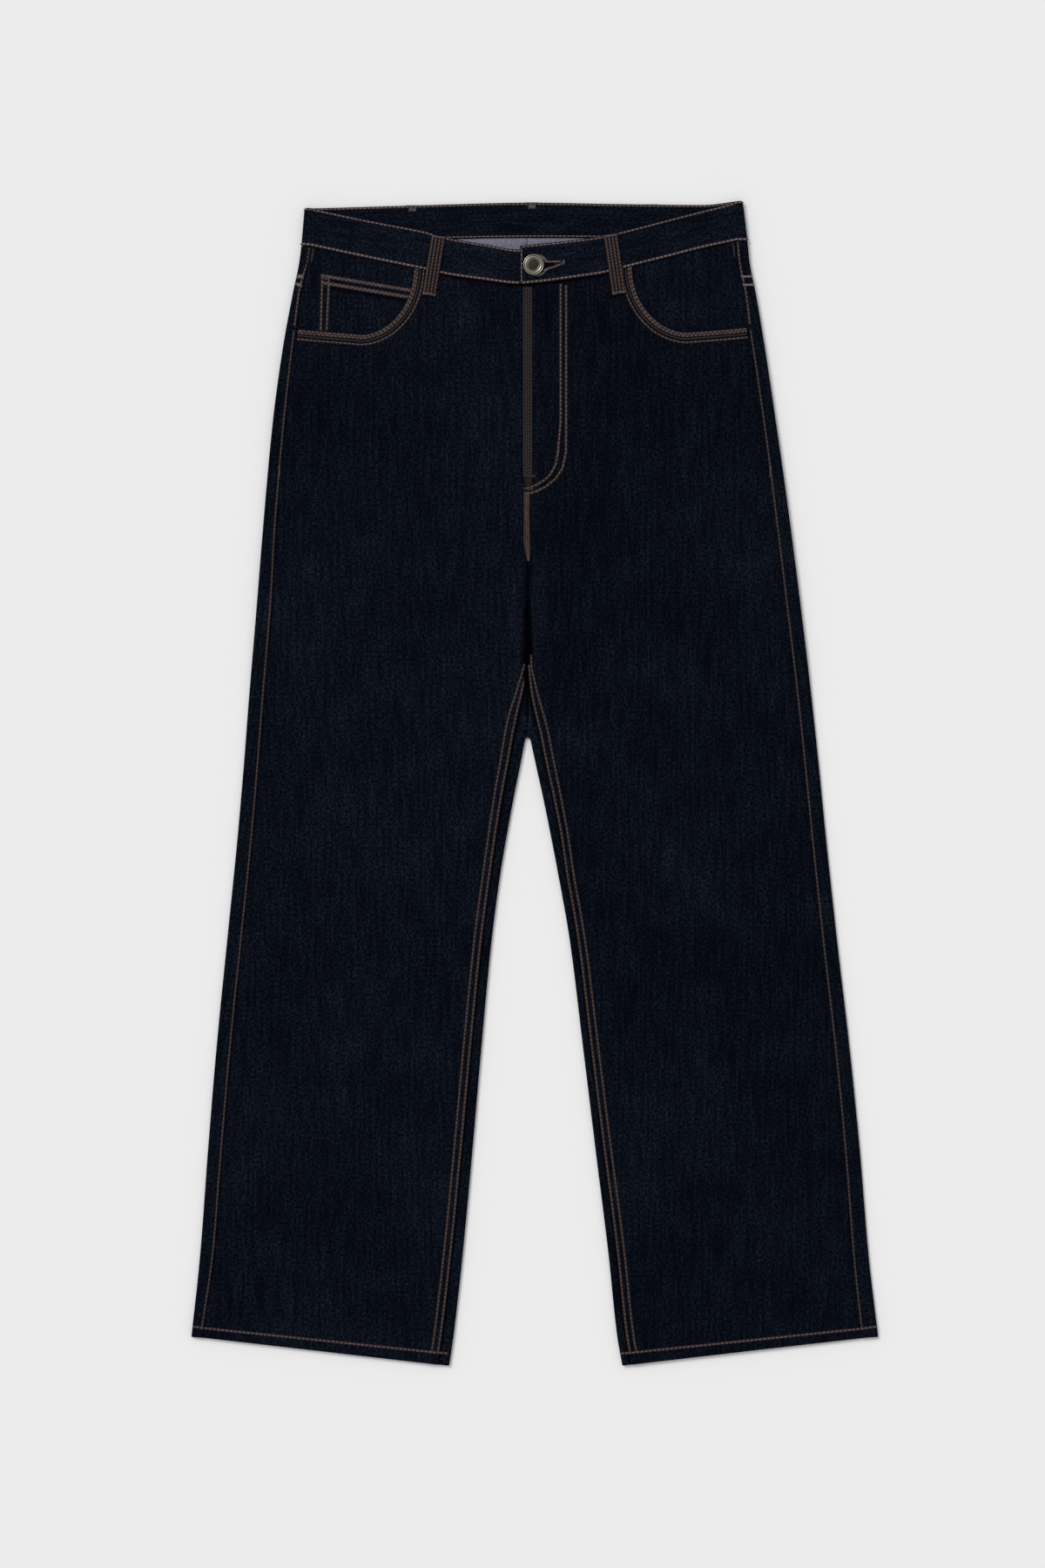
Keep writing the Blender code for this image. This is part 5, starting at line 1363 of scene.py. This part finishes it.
bm_rows, bm_tacks = bmesh.new(), bmesh.new()
for leg in SIDE:
    loop = FRONT_LOOPS[leg]
    start, end = np.array([loop.top_x, loop.top_y]), np.array([loop.low_x, loop.low_y])
    way = (end - start) / np.linalg.norm(end - start)
    side = np.array([-way[1], way[0]])
    across, along = np.meshgrid(np.array(LOOP_ACROSS), np.linspace(0.0, 1.0, 44))
    x = start[0] + (end - start)[0] * along + side[0] * across * LOOP_WIDTH / 2
    y = start[1] + (end - start)[1] * along + side[1] * across * LOOP_WIDTH / 2
    over_band = smooth((y - band_low(leg, x) + 2.5) / 4.0)
    band_face = read(BAND_FRONT[leg], "z", x, key="x") + 0.3
    face = mix(front_height(leg, x, y) + 0.1, band_face, over_band)
    bow = 0.9 * np.sin(math.pi * np.minimum(along / 0.85, 1.0)) + 0.25 * np.sin(math.pi * along)
    z = face + LOOP_WALL + bow - 0.9 * rolled((1.0 - np.abs(across)) * LOOP_WIDTH / 2)
    z = z + 0.12 * ripple(y, 5.0, 20.0 + SIDE[leg]) + 0.15 * np.cos(across * math.pi)
    bm = bmesh.new()
    sheet(bm, x, y, z, EDGE_WEAR * (np.abs(across) > 0.95), lengthwise=True)
    bm.normal_update()
    if sum(face.normal.z for face in bm.faces) < 0.0:
        bmesh.ops.reverse_faces(bm, faces=bm.faces)
    loop_piece("loop_front_" + leg, bm, "belt_loop_front_" + leg)
    names = ("loop_front_" + leg,)
    for inset in LOOP_THREADS:
        row(bm_rows, [start + side * inset + way * 1.0, end + side * inset - way * 1.0], names,
            radius=0.8, pitch=3.1 + 0.1 * inset)
    for place in (start + way * 2.0, end - way * 2.4):
        bartack(bm_tacks, place - side * 6.0, place + side * 6.0, 2.4, names, pitch=0.5)

for name, x0 in BACK_LOOPS.items():
    top = float(read(BAND_BACK, "top", np.array(x0), key="x")) + 0.4
    across, along = np.meshgrid(np.array(LOOP_ACROSS), np.linspace(0.0, 1.0, 30))
    x = x0 + across * LOOP_WIDTH / 2
    y = top - LOOP_LENGTH * (1.0 - along)
    z = np.full(x.shape, FLOOR_GAP) + 0.5 * rolled((1.0 - np.abs(across)) * LOOP_WIDTH / 2)
    bm = bmesh.new()
    sheet(bm, x, y, z, lengthwise=True)
    bmesh.ops.reverse_faces(bm, faces=bm.faces)
    loop_piece("loop_back_" + name, bm, "belt_loop_back_" + name)
    names = ("loop_back_" + name,)
    for inset in LOOP_THREADS:
        row(bm_rows, [(x0 + inset, top - 1.0), (x0 + inset, top - LOOP_LENGTH + 1.0)], names,
            below=True, radius=0.3, pitch=3.2)
    # the upper bartack comes through to the inside of the band
    if name != "l":
        line = [(x0 - 3.4 + 0.5 * k, top - (2.0 if k % 2 else 6.6), SEAT_LIFT + BAND_WALL + 0.2)
                for k in range(14)]
        line = resampled(line, 2.3)
        tube(bm_tacks, line, np.tile([0.0, 0.0, 1.0], (len(line), 1)), 0.3)
sewing("loop_stitches", bm_rows, brown_thread)
sewing("loop_bartacks", bm_tacks, pale_thread)

# ---- button -------------------------------------------------------------------------------
# Pressed brass shank button plated to an antique pewter, 19.6 mm across, with plain raised
# rings and a darker patina in the grooves between them.

CAP = 9.0               # height of the underside of its cap
BUTTON_PROFILE = (      # radius and height, from the foot of the shank out and over to the centre
    (0.0, 6.3), (2.4, 6.3), (2.0, 7.2), (2.0, CAP), (8.9, CAP + 0.05), (9.5, CAP + 0.35),
    (9.8, CAP + 0.9), (9.75, CAP + 1.5), (9.5, CAP + 2.0), (9.1, CAP + 2.15),
    (8.75, CAP + 1.9), (8.55, CAP + 1.3), (8.3, CAP + 1.25), (8.05, CAP + 1.8),
    (7.5, CAP + 1.98), (6.8, CAP + 1.85), (6.3, CAP + 1.6), (6.1, CAP + 1.15), (5.85, CAP + 1.1),
    (5.7, CAP + 1.75), (5.45, CAP + 2.0), (5.15, CAP + 1.75), (5.0, CAP + 1.15),
    (4.7, CAP + 0.9), (4.4, CAP + 1.0), (3.0, CAP + 1.06), (0.0, CAP + 1.08),
)


def pewter_material():
    """Plated brass: bright worn ridges, dark soft patina where the metal lies lower."""
    material, tree, shader = new_material("antique pewter plate")
    place = add_node(tree, "TexCoord").outputs["Object"]
    height = add_node(tree, "SeparateXYZ", None, {0: place}).outputs["Z"]
    raised = add_node(tree, "MapRange", None, {"Value": height, "From Min": (CAP + 1.1) * MM,
                                               "From Max": (CAP + 2.1) * MM}).outputs["Result"]
    grain = add_node(tree, "TexNoise", None, {"Vector": place, "Scale": 900.0, "Detail": 3.0,
                                              "Roughness": 0.6}).outputs["Fac"]
    bright = combine(tree, "ADD", raised, combine(tree, "MULTIPLY_ADD", grain, 0.5, -0.2))
    colour = blend(tree, bright, linear("#23211d"), linear("#9c988c"))
    rough = add_node(tree, "MapRange", None, {"Value": bright, "To Min": 0.52, "To Max": 0.27})
    tree.links.new(colour, shader.inputs["Base Color"])
    tree.links.new(rough.outputs["Result"], shader.inputs["Roughness"])
    shader.inputs["Metallic"].default_value = 1.0
    return material


bm = bmesh.new()
ring = [bm.verts.new(Vector((BUTTON_X + r, BUTTON_Y, z)) * MM) for r, z in BUTTON_PROFILE]
edges = [bm.edges.new(pair) for pair in zip(ring, ring[1:])]
bmesh.ops.spin(bm, geom=ring + edges, cent=Vector((BUTTON_X, BUTTON_Y, 0.0)) * MM,
               axis=(0.0, 0.0, 1.0), angle=2.0 * math.pi, steps=72, use_merge=True)
bmesh.ops.remove_doubles(bm, verts=bm.verts, dist=0.005 * MM)
bmesh.ops.recalc_face_normals(bm, faces=bm.faces)
button = finished("shank_button", bm, (pewter_material(),))
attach(button, "root")
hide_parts("waist_button")

# ---- studio -------------------------------------------------------------------------------
# Pale matt floor, an even sky and one broad soft light from the upper left. The camera looks
# straight down as in the photograph.

FLOOR_SIZE = 30000.0
LENS = 90.0
FRAME_LONG = 1476.0     # the photograph's height at the floor
VIEW_X, VIEW_Y = -11.5, -0.8

bm = bmesh.new()
bmesh.ops.create_grid(bm, x_segments=1, y_segments=1, size=FLOOR_SIZE / 2 * MM)
floor_material, floor_tree, floor_shader = new_material("pale matt paper")
place = add_node(floor_tree, "TexCoord").outputs["Object"]
fibre = add_node(floor_tree, "TexNoise", None, {"Vector": place, "Scale": 3.0}).outputs["Fac"]
paper = blend(floor_tree, fibre, linear("#e7e7e7"), linear("#e8e8e8"))
floor_tree.links.new(paper, floor_shader.inputs["Base Color"])
floor_shader.inputs["Roughness"].default_value = 1.0
floor_shader.inputs["Specular IOR Level"].default_value = 0.0
floor = finished("floor", bm, (floor_material,), soft=False)

scene = bpy.context.scene
world = bpy.data.worlds.new("soft sky")
scene.world = world
world.use_nodes = True
background = world.node_tree.nodes["Background"]
background.inputs["Color"].default_value = (1.0, 1.0, 1.0, 1.0)
background.inputs["Strength"].default_value = 0.62
lamp = bpy.data.lights.new("window", "SUN")
lamp.energy = 1.75
lamp.angle = math.radians(25.0)
window = bpy.data.objects.new("window", lamp)
window.rotation_euler = Vector((0.75, -0.75, -1.25)).to_track_quat("-Z", "Y").to_euler()
scene.collection.objects.link(window)

eye = bpy.data.cameras.new("camera")
eye.lens = LENS
eye.sensor_width = 36.0
distance = LENS * FRAME_LONG / eye.sensor_width
camera = bpy.data.objects.new("camera", eye)
camera.location = Vector((VIEW_X, VIEW_Y, distance)) * MM
eye.clip_end = 50.0
scene.collection.objects.link(camera)
scene.camera = camera
scene.view_settings.view_transform = "Standard"
